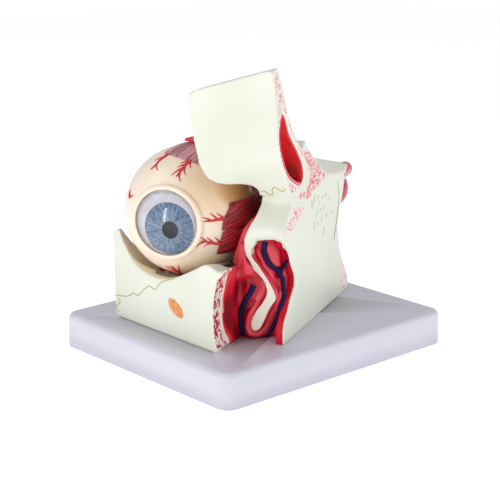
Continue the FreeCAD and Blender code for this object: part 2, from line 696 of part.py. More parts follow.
def make_nose():
    """Red lining of nose and jaw hollow in the nose opening, and the cut nasal concha in it."""
    back, side = -size("nose_depth"), -size("wall_width")
    plan = ((side, back), (-size("septum_width"), back), (-size("septum_width"), -39.0),
            (-10.0, -43.5), (-17.0, -46.0), (-21.5, -50.0), (side, -62.0))
    block = in_bone(prism("NoseBlock", "XY_Plane", ring(plan), "Sizes.nose_top"))
    tools = [in_eye(ball("NoseBall", MUSCLE_REACH)), orbit_cone("NoseCone")]
    for name, across, along, tilt, radius in (("NoseScoop", -10.5, -47.5, 6.0, 6.5),
                                              ("JawScoop", -22.5, -56.5, -6.0, 8.0)):
        scoop = Part.makeCylinder(radius, 90.0)
        foot = FreeCAD.Placement(Vector(across, along, -10), Rotation(Vector(0, 1, 0), tilt))
        tools.append(fixed(name, scoop, bone_frame() * foot))
    concha = in_bone(prism("Concha", "XZ_Plane", smooth_ring(CONCHA_OUTLINE), "5"), along="-42")
    tools.append(in_bone(prism("ConchaSeat", "XZ_Plane", smooth_ring(CONCHA_OUTLINE), "8"),
                         along="-42"))
    keep(concha, "nasal_concha")
    keep(cut("Nose", block, join("MultiFuse", "NoseTools", tools)), "nasal_lining")


CONCHA_OUTLINE = ((-22.0, 53.6), (-23.4, 49.0), (-21.8, 45.0), (-17.0, 38.0), (-12.2, 32.0),
                  (-10.6, 28.0), (-12.6, 23.0), (-17.4, 15.6), (-20.2, 9.0), (-19.4, 5.8),
                  (-16.8, 5.2), (-14.0, 7.4), (-11.4, 14.0), (-8.6, 20.6), (-6.0, 24.0),
                  (-7.2, 29.0), (-10.6, 36.0), (-15.6, 41.8), (-19.0, 46.2), (-20.2, 50.0),
                  (-19.4, 53.0))


# --- eyeball -------------------------------------------------------------------------------------

BALL = "Sizes.eyeball_diameter / 2"
SCLERA_INSIDE = BALL + " - Sizes.sclera_wall"
CHOROID_OUTSIDE = SCLERA_INSIDE + " - Sizes.layer_gap"
CHOROID_INSIDE = CHOROID_OUTSIDE + " - Sizes.choroid_wall"
VITREOUS_OUTSIDE = CHOROID_INSIDE + " - Sizes.layer_gap"


def limbus():
    """Distance from the eye's middle to the plane of the window's rim."""
    return math.sqrt((size("eyeball_diameter") / 2) ** 2 - (size("cornea_diameter") / 2) ** 2)


def halves(whole, name):
    """The upper and lower halves of a shell, parted at the seam."""
    corner = "-%s / 2" % FAR
    upper = in_eye(box(name + "_above", FAR, FAR, FAR), corner, corner, "0")
    lower = in_eye(box(name + "_below", FAR, FAR, FAR), corner, corner, "-" + FAR)
    return (join("MultiCommon", name + "_upper", [whole, upper]),
            join("MultiCommon", name + "_lower", [whole, lower]))


def pin_places():
    """Where the locating pins stand in the seam, eye frame X and Y."""
    middle = (size("eyeball_diameter") - size("sclera_wall")) / 2
    return [(middle * math.cos(math.radians(angle)), middle * math.sin(math.radians(angle)))
            for angle in (-140.0, -25.0, 60.0, 140.0)]


def make_pins():
    """Locating pins, pressed into the lower half and sliding in the upper one."""
    pins = []
    for number, (x, y) in enumerate(pin_places(), start=1):
        pin = solid("Cylinder", "Pin%d" % number, Radius="Sizes.pin_diameter / 2",
                    Height="Sizes.pin_length")
        pins.append(in_eye(pin, "%.4f" % x, "%.4f" % y, "-Sizes.pin_length / 2"))
    made = doc.addObject("Part::Compound", "Pins")
    made.Links = pins
    return keep(made, "locating_pins")


def pin_holes(name, play):
    """The pins' holes."""
    holes = []
    for number, (x, y) in enumerate(pin_places(), start=1):
        hole = solid("Cylinder", "%s%d" % (name, number),
                     Radius="Sizes.pin_diameter / 2 + (%s)" % play,
                     Height="Sizes.pin_length + 2 * (%s)" % play)
        holes.append(in_eye(hole, "%.4f" % x, "%.4f" % y,
                            "-Sizes.pin_length / 2 - (%s)" % play))
    return holes


def make_sclera():
    """The white coat's two halves, with the lip round the window."""
    outside = in_eye(ball("ScleraOutside", BALL))
    lip = solid("Torus", "Lip", Radius1="Sizes.cornea_diameter / 2 + Sizes.lip_radius * 0.6",
                Radius2="Sizes.lip_radius")
    lying(lip, "Sizes.eye_across", "Sizes.eye_along - %.5f" % limbus(), "Sizes.eye_height")
    stock = join("MultiFuse", "ScleraStock", [outside, lip])
    inside = in_eye(ball("ScleraInside", SCLERA_INSIDE))
    window = sight_rod("Window", "Sizes.cornea_diameter / 2", BALL, "-%s - %s" % (BALL, PAST))
    whole = cut("ScleraShell", stock, join("MultiFuse", "ScleraSpace", [inside, window]))
    upper, lower = halves(whole, "Sclera")
    upper_cut = cut("ScleraTop", upper, join("MultiFuse", "UpperPinHoles",
                                             pin_holes("UpperPin", "Sizes.pin_play")))
    lower_cut = cut("ScleraBottom", lower, join("MultiFuse", "LowerPinHoles",
                                                pin_holes("LowerPin", "0")))
    keep(upper_cut, "sclera_upper")
    keep(lower_cut, "sclera_lower")


def make_choroid():
    """The dark coat's two halves, open at the front for the lens."""
    outside = in_eye(ball("ChoroidOutside", CHOROID_OUTSIDE))
    inside = in_eye(ball("ChoroidInside", CHOROID_INSIDE))
    opening = sight_rod("LensOpening", "Sizes.lens_opening / 2", BALL, "-%s" % BALL)
    whole = cut("ChoroidShell", outside, join("MultiFuse", "ChoroidSpace", [inside, opening]))
    upper, lower = halves(whole, "Choroid")
    keep(upper, "choroid_upper")
    keep(lower, "choroid_lower")


def make_front():
    """The clear window, the white ring behind it and the iris in the ring."""
    rim = limbus()
    gap = size("layer_gap")
    radius = size("cornea_diameter") / 2 - gap
    bend = size("cornea_radius")
    middle = -rim + math.sqrt(bend * bend - radius * radius)
    outer = in_eye(ball("CorneaOutside", "Sizes.cornea_radius"), along="%.5f" % middle)
    inner = in_eye(ball("CorneaInside", "Sizes.cornea_radius - Sizes.cornea_wall"),
                   along="%.5f" % middle)
    rim_rod = sight_rod("CorneaRod", "Sizes.cornea_diameter / 2 - Sizes.layer_gap", FAR,
                        "%.5f - %s" % (-rim, FAR))
    dome = join("MultiCommon", "CorneaDome", [outer, rim_rod])
    keep(cut("Cornea", dome, inner), "cornea")

    back_face, before, through = "%.5f" % -rim, "%.5f - 1" % -rim, "Sizes.iris_wall + 2"
    within = "Sizes.cornea_diameter / 2 - Sizes.layer_gap"
    middle_of_iris = ("Sizes.iris_shift", "-Sizes.iris_drop")
    whole_ring = sight_rod("RingRod", within, "Sizes.iris_wall", back_face)
    iris_hole = sight_rod("IrisHole", "Sizes.iris_diameter / 2", through, before, *middle_of_iris)
    keep(cut("Ring", whole_ring, iris_hole), "limbus_ring")
    iris_rod = sight_rod("IrisRod", "Sizes.iris_diameter / 2", "Sizes.iris_wall", back_face,
                         *middle_of_iris)
    pupil = sight_rod("Pupil", "Sizes.pupil_diameter / 2", through, before, *middle_of_iris)
    in_ring = join("MultiCommon", "IrisInRing",
                   [iris_rod, sight_rod("IrisLimit", within, through, before)])
    keep(cut("Iris", in_ring, pupil), "iris")


def make_lens_and_vitreous():
    """The clear lens, seated in the front of the clear ball."""
    front = -limbus() + size("iris_wall") + size("lens_setback")
    front_middle = front + size("lens_front")
    back_middle = front + size("lens_thickness") - size("lens_back")
    cap = in_eye(ball("LensFront", "Sizes.lens_front"), along="%.5f" % front_middle)
    bowl = in_eye(ball("LensBack", "Sizes.lens_back"), along="%.5f" % back_middle)
    lens = keep(join("MultiCommon", "Lens", [cap, bowl]), "lens")

    # the circle where the lens's two faces meet
    apart = front_middle - back_middle
    back_part = (apart ** 2 + size("lens_back") ** 2 - size("lens_front") ** 2) / (2 * apart)
    edge = back_middle + back_part
    mouth = math.sqrt(size("lens_back") ** 2 - back_part ** 2)
    clear = in_eye(ball("VitreousBall", VITREOUS_OUTSIDE))
    way_out = sight_rod("LensWay", "%.5f" % mouth, FAR, "%.5f - %s" % (edge, FAR))
    seat = in_eye(ball("LensSeat", "Sizes.lens_back"), along="%.5f" % back_middle)
    behind = in_eye(box("SeatBehind", FAR, FAR, FAR), "-%s / 2" % FAR, "%.5f" % edge,
                    "-%s / 2" % FAR)
    bowl_cut = join("MultiCommon", "SeatBowl", [seat, behind])
    keep(cut("Vitreous", clear, join("MultiFuse", "VitreousSpace", [way_out, bowl_cut])),
         "vitreous_body")
    return lens


# --- muscles and nerve ---------------------------------------------------------------------------

# thickness of a muscle's edges as a share of its middle's
MUSCLE_EDGE = 0.35


def apex():
    return Vector(size("apex_across"), size("apex_along"), size("apex_up"))


def band(middle, out, side, bend, cover, wall):
    """A muscle's section: its inner face bends round the eye, its outer face bulges.

    middle is on the inner face, out points away from the eyeball, side lies across the muscle,
    cover is where the section starts and ends along side.
    """
    heart = middle - out * bend
    low, high = (reach / bend for reach in cover)
    centre = (low + high) / 2
    edge = wall * MUSCLE_EDGE

    def at(angle, radius):
        return heart + out * (radius * math.cos(angle)) + side * (radius * math.sin(angle))

    inner = Part.Arc(at(low, bend), at(centre, bend), at(high, bend)).toShape()
    outer = Part.Arc(at(high, bend + edge), at(centre, bend + wall), at(low, bend + edge)).toShape()
    right = Part.LineSegment(at(high, bend), at(high, bend + edge)).toShape()
    left = Part.LineSegment(at(low, bend + edge), at(low, bend)).toShape()
    return Part.Wire([inner, right, outer, left])


def straight_muscle(clock, start, lift=0.0, width=None, part=0):
    """A muscle that wraps back over the eyeball and runs straight to the apex.

    clock is its side of the eyeball in degrees (0 towards the nose, 90 up), start its front end's
    angle off the line of sight, lift its extra height off the eyeball, part the half of a muscle
    that is divided along its middle (1 or -1) or 0 for a whole one.
    """
    radius = size("eyeball_diameter") / 2 + size("muscle_gap") + lift
    wall = size("muscle_wall")
    wide = (width or size("muscle_width")) / 2
    narrow = size("muscle_end") / 2
    axis = apex().normalize()
    turn, off = math.radians(clock), math.radians(start)
    front = Vector(math.sin(off) * math.cos(turn), -math.cos(off), math.sin(off) * math.sin(turn))
    across = (front - axis * front.dot(axis)).normalize()
    side = axis.cross(across)
    end_bend = size("nerve_diameter") / 2 + size("seat_gap") + size("muscle_gap") + lift
    end = apex() + across * end_bend

    # angles off the axis where the muscle starts and where it leaves the eyeball
    first = math.acos(front.dot(axis))
    last = math.acos(radius / end.Length) + math.atan2(end.dot(across), end.dot(axis))
    leave = (axis * math.cos(last) + across * math.sin(last)) * radius
    wrapped = radius * (first - last)
    straight = (end - leave).Length

    sections = []
    steps = 11
    for step in range(steps + 1):
        gone = (wrapped + straight) * step / steps
        angle = max(first - gone / radius, last)
        out = axis * math.cos(angle) + across * math.sin(angle)
        share = max(gone - wrapped, 0.0) / straight
        middle = out * radius + (end - leave) * share
        bend = radius + (end_bend - radius) * share
        half = wide + (narrow - wide) * share
        cover = sorted((part * size("seam_gap") / 2, part * half)) if part else (-half, half)
        sections.append(band(middle, out, side, bend, cover, wall))
    return Part.makeLoft(sections, True, False)


def tube(points, radii):
    """A round cord through points, with its own radius at each."""
    curve = Part.BSplineCurve()
    curve.interpolate(points)
    knots = [curve.parameter(point) for point in points]
    sections = []
    for before, after, wide, narrow in zip(knots, knots[1:], radii, radii[1:]):
        for share in (0.0, 0.5):
            sections.append((before + (after - before) * share, wide + (narrow - wide) * share))
    sections.append((knots[-1], radii[-1]))
    rings = [Part.Circle(curve.value(place), curve.tangent(place)[0], radius).toShape()
             for place, radius in sections]
    return Part.makeLoft([Part.Wire([edge]) for edge in rings], True, False)


# The two oblique muscles: the middle line, in the eye frame and for a 72 mm eyeball, and the
# radius at each of its points.
UPPER_OBLIQUE = (((33.5, 72.0, 16.0), (34.0, 50.0, 20.0), (34.0, 22.0, 24.5), (34.0, -2.0, 27.5),
                  (31.5, -9.0, 29.5), (27.4, -7.5, 30.6), (22.8, -1.5, 29.4)),
                 (2.6, 3.2, 3.1, 1.9, 1.5, 1.4, 1.3))
LOWER_OBLIQUE = (((-15.5, -3.0, -34.6), (-20.0, 4.0, -32.0), (-24.0, 9.5, -27.9),
                  (-26.8, 13.5, -23.6)), (2.2, 2.4, 2.2, 1.5))


def cord_scale():
    """How far the oblique muscles' lines, drawn for a 72 mm eyeball, spread with its size."""
    return size("eyeball_diameter") / 72.0


def make_muscles():
    """The muscles that turn the eyeball, each cut through where the model parts."""
    frame = eye_frame()
    seat = Part.makeSphere(size("eyeball_diameter") / 2 + size("muscle_gap") / 2)
    keep(fixed("SuperiorRectus", straight_muscle(88.0, 62.0), frame), "superior_rectus")
    keep(fixed("InferiorRectus", straight_muscle(-90.0, 56.0), frame), "inferior_rectus")

    # the inner and outer muscles are divided along their middle; their upper parts reach below
    # the seam, so they stand off enough to clear the eyeball's widest line as they lift
    wide = size("muscle_width") + 4
    for name, label, clock, start, up in (("Medial", "medial_rectus", -8.0, 53.0, -1),
                                          ("Lateral", "lateral_rectus", 187.0, 80.0, 1)):
        for part, sign in (("upper", up), ("lower", -up)):
            muscle = straight_muscle(clock, start, size("divided_lift"), wide, sign)
            keep(fixed(name + part, muscle, frame), "%s_%s" % (label, part))

    lid = straight_muscle(80.0, 84.0, size("muscle_wall") + size("seam_gap"), 19.0)
    keep(fixed("Levator", lid, frame), "levator_stub")
    for name, label, way, radii in (("SuperiorOblique", "superior_oblique", *UPPER_OBLIQUE),
                                    ("InferiorOblique", "inferior_oblique", *LOWER_OBLIQUE)):
        cord = tube([Vector(*point) * cord_scale() for point in way], radii)
        keep(fixed(name, cord.cut(seat), frame), label)


def make_optic_nerve():
    """The optic nerve from the back of the eyeball to the apex."""
    radius = size("nerve_diameter") / 2
    start = Vector(9.0, math.sqrt((size("eyeball_diameter") / 2) ** 2 - 81.0), 0)
    end = apex() + Vector(2.0, 5.0, 0)
    line = [start * 0.9, start + (end - start) * 0.3 + Vector(-1.0, 0, 0),
            start + (end - start) * 0.65 + Vector(-0.6, 0, 0), end]
    nerve = tube(line, (radius * 1.12, radius, radius, radius))
    # its end follows the eyeball below the seam and stands clear of the upper half as it lifts
    reach = size("eyeball_diameter") / 2 + size("seat_gap")
    seat = Part.makeSphere(reach).fuse(Part.makeCylinder(reach, 2 * radius))
    keep(fixed("OpticNerve", nerve.cut(seat), eye_frame()), "optic_nerve")


# --- the whole model -----------------------------------------------------------------------------

def check():
    """Stop at any object that failed, and at any piece that is empty or not sound."""
    for thing in doc.Objects:
        faults = [state for state in thing.State if state in ("Invalid", "Error")]
        if faults:
            raise RuntimeError("%s: %s" % (thing.Name, faults))
    for thing in KEPT:
        shape = thing.Shape
        if shape.isNull() or not shape.isValid() or not shape.Solids:
            raise RuntimeError("%s is not a sound solid" % thing.Label)
        print("%-24s %2d solid(s) %10.1f mm3" % (thing.Label, len(shape.Solids), shape.Volume))


def main():
    make_base()
    make_feet()
    make_screws()
    make_cheek()
    make_nerve()
    make_wall()
    make_back_vessels()
    make_brow()
    make_lining()
    make_nose()
    make_pins()
    make_sclera()
    make_choroid()
    make_front()
    make_lens_and_vitreous()
    make_muscles()
    make_optic_nerve()
    doc.recompute()
    check()
    os.makedirs("parts", exist_ok=True)
    for thing in KEPT:
        thing.Shape.exportStep("parts/%s.step" % thing.Label)


main()
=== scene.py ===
# %% [markdown]
# # A dissectible model of the eye in its socket
# The model is a right eye, three times life size, lying in the cut bone of its socket.
# The eyeball lifts out of the bone and comes apart like the layers of an onion.
# The CAD model gives the place and the size of every part. The pieces here show the same parts
# with the finish, the paint and the small forms that a casting has.

# %% Start and load the frame
import math

import bmesh
import bpy
import numpy as np
from mathutils import Matrix, Vector
from mathutils.bvhtree import BVHTree


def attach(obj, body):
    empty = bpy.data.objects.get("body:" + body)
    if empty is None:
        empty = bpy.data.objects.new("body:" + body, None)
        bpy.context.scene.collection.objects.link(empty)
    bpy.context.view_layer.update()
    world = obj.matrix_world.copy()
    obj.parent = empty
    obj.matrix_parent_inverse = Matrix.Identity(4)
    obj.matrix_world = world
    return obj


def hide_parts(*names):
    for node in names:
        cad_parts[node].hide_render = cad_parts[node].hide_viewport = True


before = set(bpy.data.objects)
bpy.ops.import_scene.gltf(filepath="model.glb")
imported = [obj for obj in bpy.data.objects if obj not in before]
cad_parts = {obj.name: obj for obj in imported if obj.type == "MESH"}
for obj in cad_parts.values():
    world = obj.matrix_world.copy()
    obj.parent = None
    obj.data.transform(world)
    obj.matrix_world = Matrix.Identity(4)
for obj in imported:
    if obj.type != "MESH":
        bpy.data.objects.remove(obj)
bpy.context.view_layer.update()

print("nodes:", len(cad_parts))

# %% [markdown]
# ## Where things are
# Sizes are easier to read in millimetres, so every shape is planned in them.
# Blender works in metres, so a shape is scaled once, when its mesh is made.
# Three frames are used: the base's own, the bones', which is turned a little on the base,
# and the eye's, whose middle is the middle of the eyeball and which looks along its -Y.

# %% The three frames
MM = 0.001
BONE_TURN = math.radians(27.0)
BASE = Matrix.Identity(4)
BONE = Matrix.Translation((32.5, 16.6, 20.0)) @ Matrix.Rotation(BONE_TURN, 4, "Z")
EYE = BONE @ Matrix.Translation((-64.0, -27.0, 63.5))
EYE_RADIUS = 36.0
print("middle of the eyeball:", [round(value, 1) for value in EYE.translation])

# %% [markdown]
# ## Making a piece
# A piece is a closed mesh with one finish, which rides on the body that carries it.
# Points come in millimetres in one of the frames and are put in place here, so that the
# object itself stays at the origin, unturned. Merging doubles closes seams and poles, and
# normals are worked out again afterwards so that they all point outwards.

# %% Millimetres to metres and back
def place(points, frame_matrix):
    """Points in millimetres in a frame, as metres in the model's own frame."""
    points = np.asarray(points, float).reshape(-1, 3)
    turn = np.array(frame_matrix)
    return (points @ turn[:3, :3].T + turn[:3, 3]) * MM


def local(points, frame_matrix):
    """Points in metres in the model's frame, as millimetres in another frame."""
    turn = np.array(frame_matrix)
    return (np.asarray(points) / MM - turn[:3, 3]) @ turn[:3, :3]


# %% A mesh of points and faces
def mesh_object(name, points, faces, frame_matrix, notes=None):
    """A mesh object of points and faces; notes are numbers kept at its points."""
    mesh = bpy.data.meshes.new(name)
    mesh.from_pydata(place(points, frame_matrix).tolist(), [], faces)
    for key, values in (notes or {}).items():
        mesh.attributes.new(key, "FLOAT", "POINT").data.foreach_set("value", np.ravel(values))
    made = bpy.data.objects.new(name, mesh)
    bpy.context.scene.collection.objects.link(made)
    return made


def close_up(thing, sharp=40.0):
    """Merge doubles, turn the faces outwards and shade smooth between sharp edges."""
    shape = bmesh.new()
    shape.from_mesh(thing.data)
    bmesh.ops.remove_doubles(shape, verts=shape.verts, dist=1e-7)
    bmesh.ops.dissolve_degenerate(shape, edges=shape.edges, dist=1e-8)
    bmesh.ops.recalc_face_normals(shape, faces=shape.faces)
    shape.to_mesh(thing.data)
    shape.free()
    thing.data.shade_smooth()
    thing.data.set_sharp_from_angle(angle=math.radians(sharp))
    return thing


# %% The last step of every piece
def dress(thing, finish, slot, body, *nodes):
    """Give a piece its finish and the body it rides on, and hide the CAD nodes it stands for; slot is
    not used.
    """
    thing.data.materials.clear()
    thing.data.materials.append(finish)
    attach(thing, body)
    if nodes:
        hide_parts(*nodes)
    return thing


# %% Making modifiers real
def baked(thing, name):
    """What the modifiers make of an object, as a plain mesh object of its own."""
    graph = bpy.context.evaluated_depsgraph_get()
    mesh = bpy.data.meshes.new_from_object(thing.evaluated_get(graph), depsgraph=graph)
    made = bpy.data.objects.new(name, mesh)
    bpy.context.scene.collection.objects.link(made)
    bpy.data.objects.remove(thing)
    return made


# %% [markdown]
# ## Working on single points
# Paint and carving are both worked out for every point of a mesh at once, with arrays. The
# points are read, a smooth rise says how much each one is touched, and they are written back.
# A number kept at each point lets a material follow what the array found.

# %% Reading and writing points
def points_of(thing):
    """The points of an object's mesh, as an array in metres."""
    spots = np.empty(len(thing.data.vertices) * 3)
    thing.data.vertices.foreach_get("co", spots)
    return spots.reshape(-1, 3)


def normals_of(thing, frame_matrix):
    """The outward directions at an object's points, as seen in a frame."""
    ways = np.empty(len(thing.data.vertices) * 3)
    thing.data.vertex_normals.foreach_get("vector", ways)
    return ways.reshape(-1, 3) @ np.array(frame_matrix)[:3, :3]


def set_points(thing, spots):
    """Put an object's points at new places, in metres."""
    thing.data.vertices.foreach_set("co", np.ravel(spots))
    thing.data.update()


def note(thing, key, values):
    """Keep one number a point on a mesh, for its material to read."""
    thing.data.attributes.new(key, "FLOAT", "POINT").data.foreach_set("value", values)


# %% Smooth rises and smoothed surfaces
def ease(low, high, values):
    """0 below low, 1 above high and a smooth rise between."""
    share = np.clip((np.asarray(values, float) - low) / (high - low), 0.0, 1.0)
    return share * share * (3.0 - 2.0 * share)


def smooth_where(thing, weights, passes):
    """Move points towards the middle of their neighbours, by a weight at each point."""
    spots = points_of(thing)
    pairs = np.empty(len(thing.data.edges) * 2, int)
    thing.data.edges.foreach_get("vertices", pairs)
    one, two = pairs.reshape(-1, 2).T
    count = np.bincount(pairs, minlength=len(spots))[:, None]
    for _ in range(passes):
        total = np.zeros_like(spots)
        for axis in range(3):
            total[:, axis] = (np.bincount(one, spots[two, axis], len(spots))
                              + np.bincount(two, spots[one, axis], len(spots)))
        spots += (total / count - spots) * weights[:, None] * 0.6
    set_points(thing, spots)


# %% [markdown]
# ## Taking a shape from the frame
# The CAD solids already have the right sizes, so a machined or moulded piece starts as a copy
# of its node. A bone is a casting from a carved pattern: nothing on it is quite flat or sharp.
# Remeshing the copy to small even voxels and smoothing it a little gives that look, and it
# leaves enough points for the paint on the bone to be kept as numbers at them.

# %% Copies and castings
def from_frame(name, *nodes):
    """A closed copy of one CAD node, or of several as one."""
    joined = bmesh.new()
    for node in nodes:
        joined.from_mesh(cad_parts[node].data)
    mesh = bpy.data.meshes.new(name)
    joined.to_mesh(mesh)
    joined.free()
    made = bpy.data.objects.new(name, mesh)
    bpy.context.scene.collection.objects.link(made)
    return close_up(made)


def softened(rough, name, voxel, passes):
    """An object remade of small even faces, with its edges softened."""
    remesh = rough.modifiers.new("Voxels", "REMESH")
    remesh.mode = "VOXEL"
    remesh.voxel_size = voxel * MM
    soften = rough.modifiers.new("Soften", "SMOOTH")
    soften.factor = 0.5
    soften.iterations = passes
    made = baked(rough, name)
    made.data.shade_smooth()
    print(name, "has", len(made.data.polygons), "faces")
    return made


def casting(name, nodes, voxel, passes):
    """A copy of CAD nodes with edges softened, as cast in a mould."""
    return softened(from_frame(name + "_rough", *nodes), name, voxel, passes)


# %% [markdown]
# ## Finishes
# A finish is a small tree of nodes that ends in one Principled shader.
# Colours are written as a painter mixes them, from 0 to 255, and turned into the linear
# values that the shader works in. Patterns read Object coordinates, or numbers kept at the
# points of a piece where the pattern follows its surface.

# %% Helpers for finishes
def tint(red, green, blue):
    """A colour as seen on a screen, as linear values."""
    seen = [value / 255.0 for value in (red, green, blue)]
    return tuple(v / 12.92 if v <= 0.04045 else ((v + 0.055) / 1.055) ** 2.4 for v in seen) + (1.0,)


# %% A finish, built one node at a time
class Finish:
    """A material that ends in one Principled shader."""

    def __init__(self, name, roughness, **sockets):
        self.material = bpy.data.materials.new(name)
        self.material.use_nodes = True
        self.tree = self.material.node_tree
        self.shader = self.tree.nodes["Principled BSDF"]
        self.shader.inputs["Roughness"].default_value = roughness
        for key, value in sockets.items():
            self.shader.inputs[key.replace("_", " ")].default_value = value

    def put(self, socket, value):
        """Set a socket, or link it if the value is another node's output."""
        if isinstance(value, bpy.types.NodeSocket):
            self.tree.links.new(value, socket)
        else:
            socket.default_value = value

    def node(self, kind, inputs=None, **settings):
        """A shader node with its settings, and its inputs set or linked."""
        made = self.tree.nodes.new("ShaderNode" + kind)
        for key, value in settings.items():
            setattr(made, key, value)
        for key, value in (inputs or {}).items():
            self.put(made.inputs[key], value)
        return made

    def place(self, scale=(1.0, 1.0, 1.0), turn=0.0):
        """Object coordinates, stretched and turned about Z."""
        spot = self.node("TexCoord").outputs["Object"]
        return self.node("Mapping", {"Vector": spot, "Scale": scale,
                                     "Rotation": (0.0, 0.0, turn)}).outputs["Vector"]

    def noise(self, scale, detail=3.0, vector=None, distortion=0.0):
        """Cloudy noise, from 0 to 1."""
        inputs = {"Scale": scale, "Detail": detail, "Distortion": distortion,
                  "Vector": vector if vector else self.place()}
        return self.node("TexNoise", inputs).outputs["Fac"]

    def read(self, key):
        """A number kept at the points of the piece."""
        return self.node("Attribute", attribute_name=key).outputs["Fac"]

    def math(self, how, *values):
        """A sum, product or the like of values."""
        made = self.node("Math", dict(enumerate(values)), operation=how)
        return made.outputs[0]

    def ramp(self, value, stops):
        """Colours at places along a value."""
        made = self.node("ValToRGB", {"Fac": value})
        ramp = made.color_ramp
        while len(ramp.elements) < len(stops):
            ramp.elements.new(1.0)
        for element, (spot, colour) in zip(ramp.elements, stops):
            element.position = spot
            element.color = colour
        return made.outputs["Color"]

    def curve(self, value, low, high, bottom=0.0, top=1.0):
        """A value stretched between low and high."""
        return self.node("MapRange", {"Value": value, "From Min": low, "From Max": high,
                                      "To Min": bottom, "To Max": top}).outputs["Result"]

    def mix(self, share, one, two):
        """One colour turning into another."""
        made = self.node("Mix", {0: share, 6: one, 7: two}, data_type="RGBA")
        return made.outputs[2]

    def colour(self, value):
        """The colour of the surface."""
        self.put(self.shader.inputs["Base Color"], value)

    def rough(self, value):
        """How matt the surface is, from 0 to 1."""
        self.put(self.shader.inputs["Roughness"], value)

    def bump(self, height, depth, strength=0.5):
        """Relief of a given depth in millimetres."""
        made = self.node("Bump", {"Height": height, "Strength": strength,
                                  "Distance": depth * MM})
        self.put(self.shader.inputs["Normal"], made.outputs["Normal"])


# %% [markdown]
# ## The bone finish
# The castings are a faintly green ivory with a soft satin shine and very slight clouding.
# Where the bone is cut, its spongy marrow is painted: pink or crimson flecks on a pale ground.
# The flecks are noise with a hard edge, let in only where the piece's own note says marrow.
# Inside the socket the bone turns tan where it faces the eyeball closely, which is another note, and
# the lining of the nose is painted on to the bone's edges, which is a third. A fourth note lays dark
# brown painted shade in the socket's deepest corners.

# %% Colours of bone and membrane
IVORY = tint(229, 231, 216)
IVORY_SHADE = tint(221, 224, 207)
IVORY_EDGE = tint(246, 240, 226)
TAN = tint(236, 196, 134)


def mucosa_colour(made):
    """Coral on the ridges, bright red beside them and crimson in the depths: the membrane's reds, with
    painted highlight on the ridges and painted shade in the depths.
    """
    wander = made.math("MULTIPLY_ADD", made.noise(150.0, 2.0), 0.24, -0.12)
    return made.ramp(made.math("ADD", made.read("deep"), wander), [
        (0.0, tint(220, 66, 80)), (0.18, tint(212, 38, 58)), (0.4, tint(204, 18, 42)),
        (0.68, tint(186, 10, 34)), (1.0, tint(134, 4, 24))])


# %% Bone finish
BONE_ROUGH, BONE_COAT = 0.42, 0.18


def bone_finish(name, fleck_size, ground, plain, rich):
    """Ivory bone; plain and rich are a light and a dark colour of its marrow's flecks."""
    made = Finish(name, BONE_ROUGH, Coat_Weight=BONE_COAT, Coat_Roughness=0.3)
    cloud = made.noise(24.0, 3.0)
    ivory = made.mix(made.curve(cloud, 0.35, 0.7), IVORY, IVORY_SHADE)
    tan = made.mix(made.curve(made.noise(60.0, 4.0), 0.3, 0.7), TAN, tint(244, 216, 160))
    # tan mixed in where the bone faces the eyeball closely, strongest beside it
    ivory = made.mix(made.math("MULTIPLY", made.read("tan_by_eyeball"), 0.85), ivory, tan)
    ivory = made.mix(made.read("edge"), ivory, IVORY_EDGE)

    marrow = made.read("marrow")
    flecks = made.noise(1.0 / (fleck_size * MM), 3.5, distortion=1.2)
    let_in = made.math("MULTIPLY_ADD", made.math("SUBTRACT", marrow, 1.0), 0.3, flecks)
    shown = made.curve(let_in, 0.47, 0.51)
    depth = made.curve(let_in, 0.49, 0.6)
    fleck = made.mix(made.read("rich"), made.mix(depth, *plain), made.mix(depth, *rich))
    pink = made.mix(made.math("MULTIPLY", made.curve(marrow, 0.2, 0.8), 0.85), ivory, ground)
    painted = made.mix(shown, pink, fleck)
    # painted shade: dark brown wherever the note dark is set
    painted = made.mix(made.read("dark"), painted, tint(48, 26, 16))
    wet = made.curve(made.read("red"), 0.4, 0.6)
    made.colour(made.mix(wet, painted, mucosa_colour(made)))
    made.rough(made.curve(wet, 0.0, 1.0, BONE_ROUGH, 0.5))
    made.put(made.shader.inputs["Coat Weight"], made.curve(wet, 0.0, 1.0, BONE_COAT, 0.0))
    made.put(made.shader.inputs["Specular IOR Level"], made.curve(wet, 0.0, 1.0, 0.5, 0.12))

    relief = made.math("MULTIPLY_ADD", shown, -0.8, made.noise(700.0, 2.0))
    made.bump(relief, 0.12, 0.35)
    return made.material


FACE_BONE = bone_finish("bone_with_fine_marrow", 1.9, tint(244, 226, 216),
                        (tint(222, 166, 166), tint(196, 128, 134)),
                        (tint(230, 124, 138), tint(206, 78, 98)))
JAW_FLECKS = (tint(208, 70, 84), tint(166, 36, 54))
JAW_BONE = bone_finish("bone_with_coarse_marrow", 3.6, tint(245, 230, 219), JAW_FLECKS, JAW_FLECKS)
print("bone finishes:", FACE_BONE.name, "and", JAW_BONE.name)

# %% [markdown]
# ## Base
# The base is one hollow moulding in a very pale lavender grey, with a rounded top edge.
# Its shape is simple and exact, so the copy of the CAD node is the right mesh already; only
# its finish is new. Fine noise in the roughness keeps the shine from looking like glass.

# %% Base, feet and screws
base_finish = Finish("base_plastic", 0.34, Coat_Weight=0.1, Coat_Roughness=0.25)
base_finish.colour(base_finish.mix(base_finish.noise(14.0, 2.0), tint(206, 204, 217),
                                   tint(211, 210, 221)))
base_finish.rough(base_finish.curve(base_finish.noise(260.0, 4.0), 0.3, 0.7, 0.3, 0.42))
base_finish.bump(base_finish.noise(1500.0, 2.0), 0.02, 0.3)
dress(from_frame("base", "base_plate"), base_finish.material, "base", "stand", "base_plate")
print("base has", len(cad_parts["base_plate"].data.polygons), "faces in the CAD")

# %% [markdown]
# ## Repeated parts
# The feet, the screws and the locating pins each repeat one part four times. One part is made
# as a turned shape, from a profile of radius and height, and a Geometry Nodes tree sets copies
# of it on points. The copies are made real, so that the piece is plain geometry.

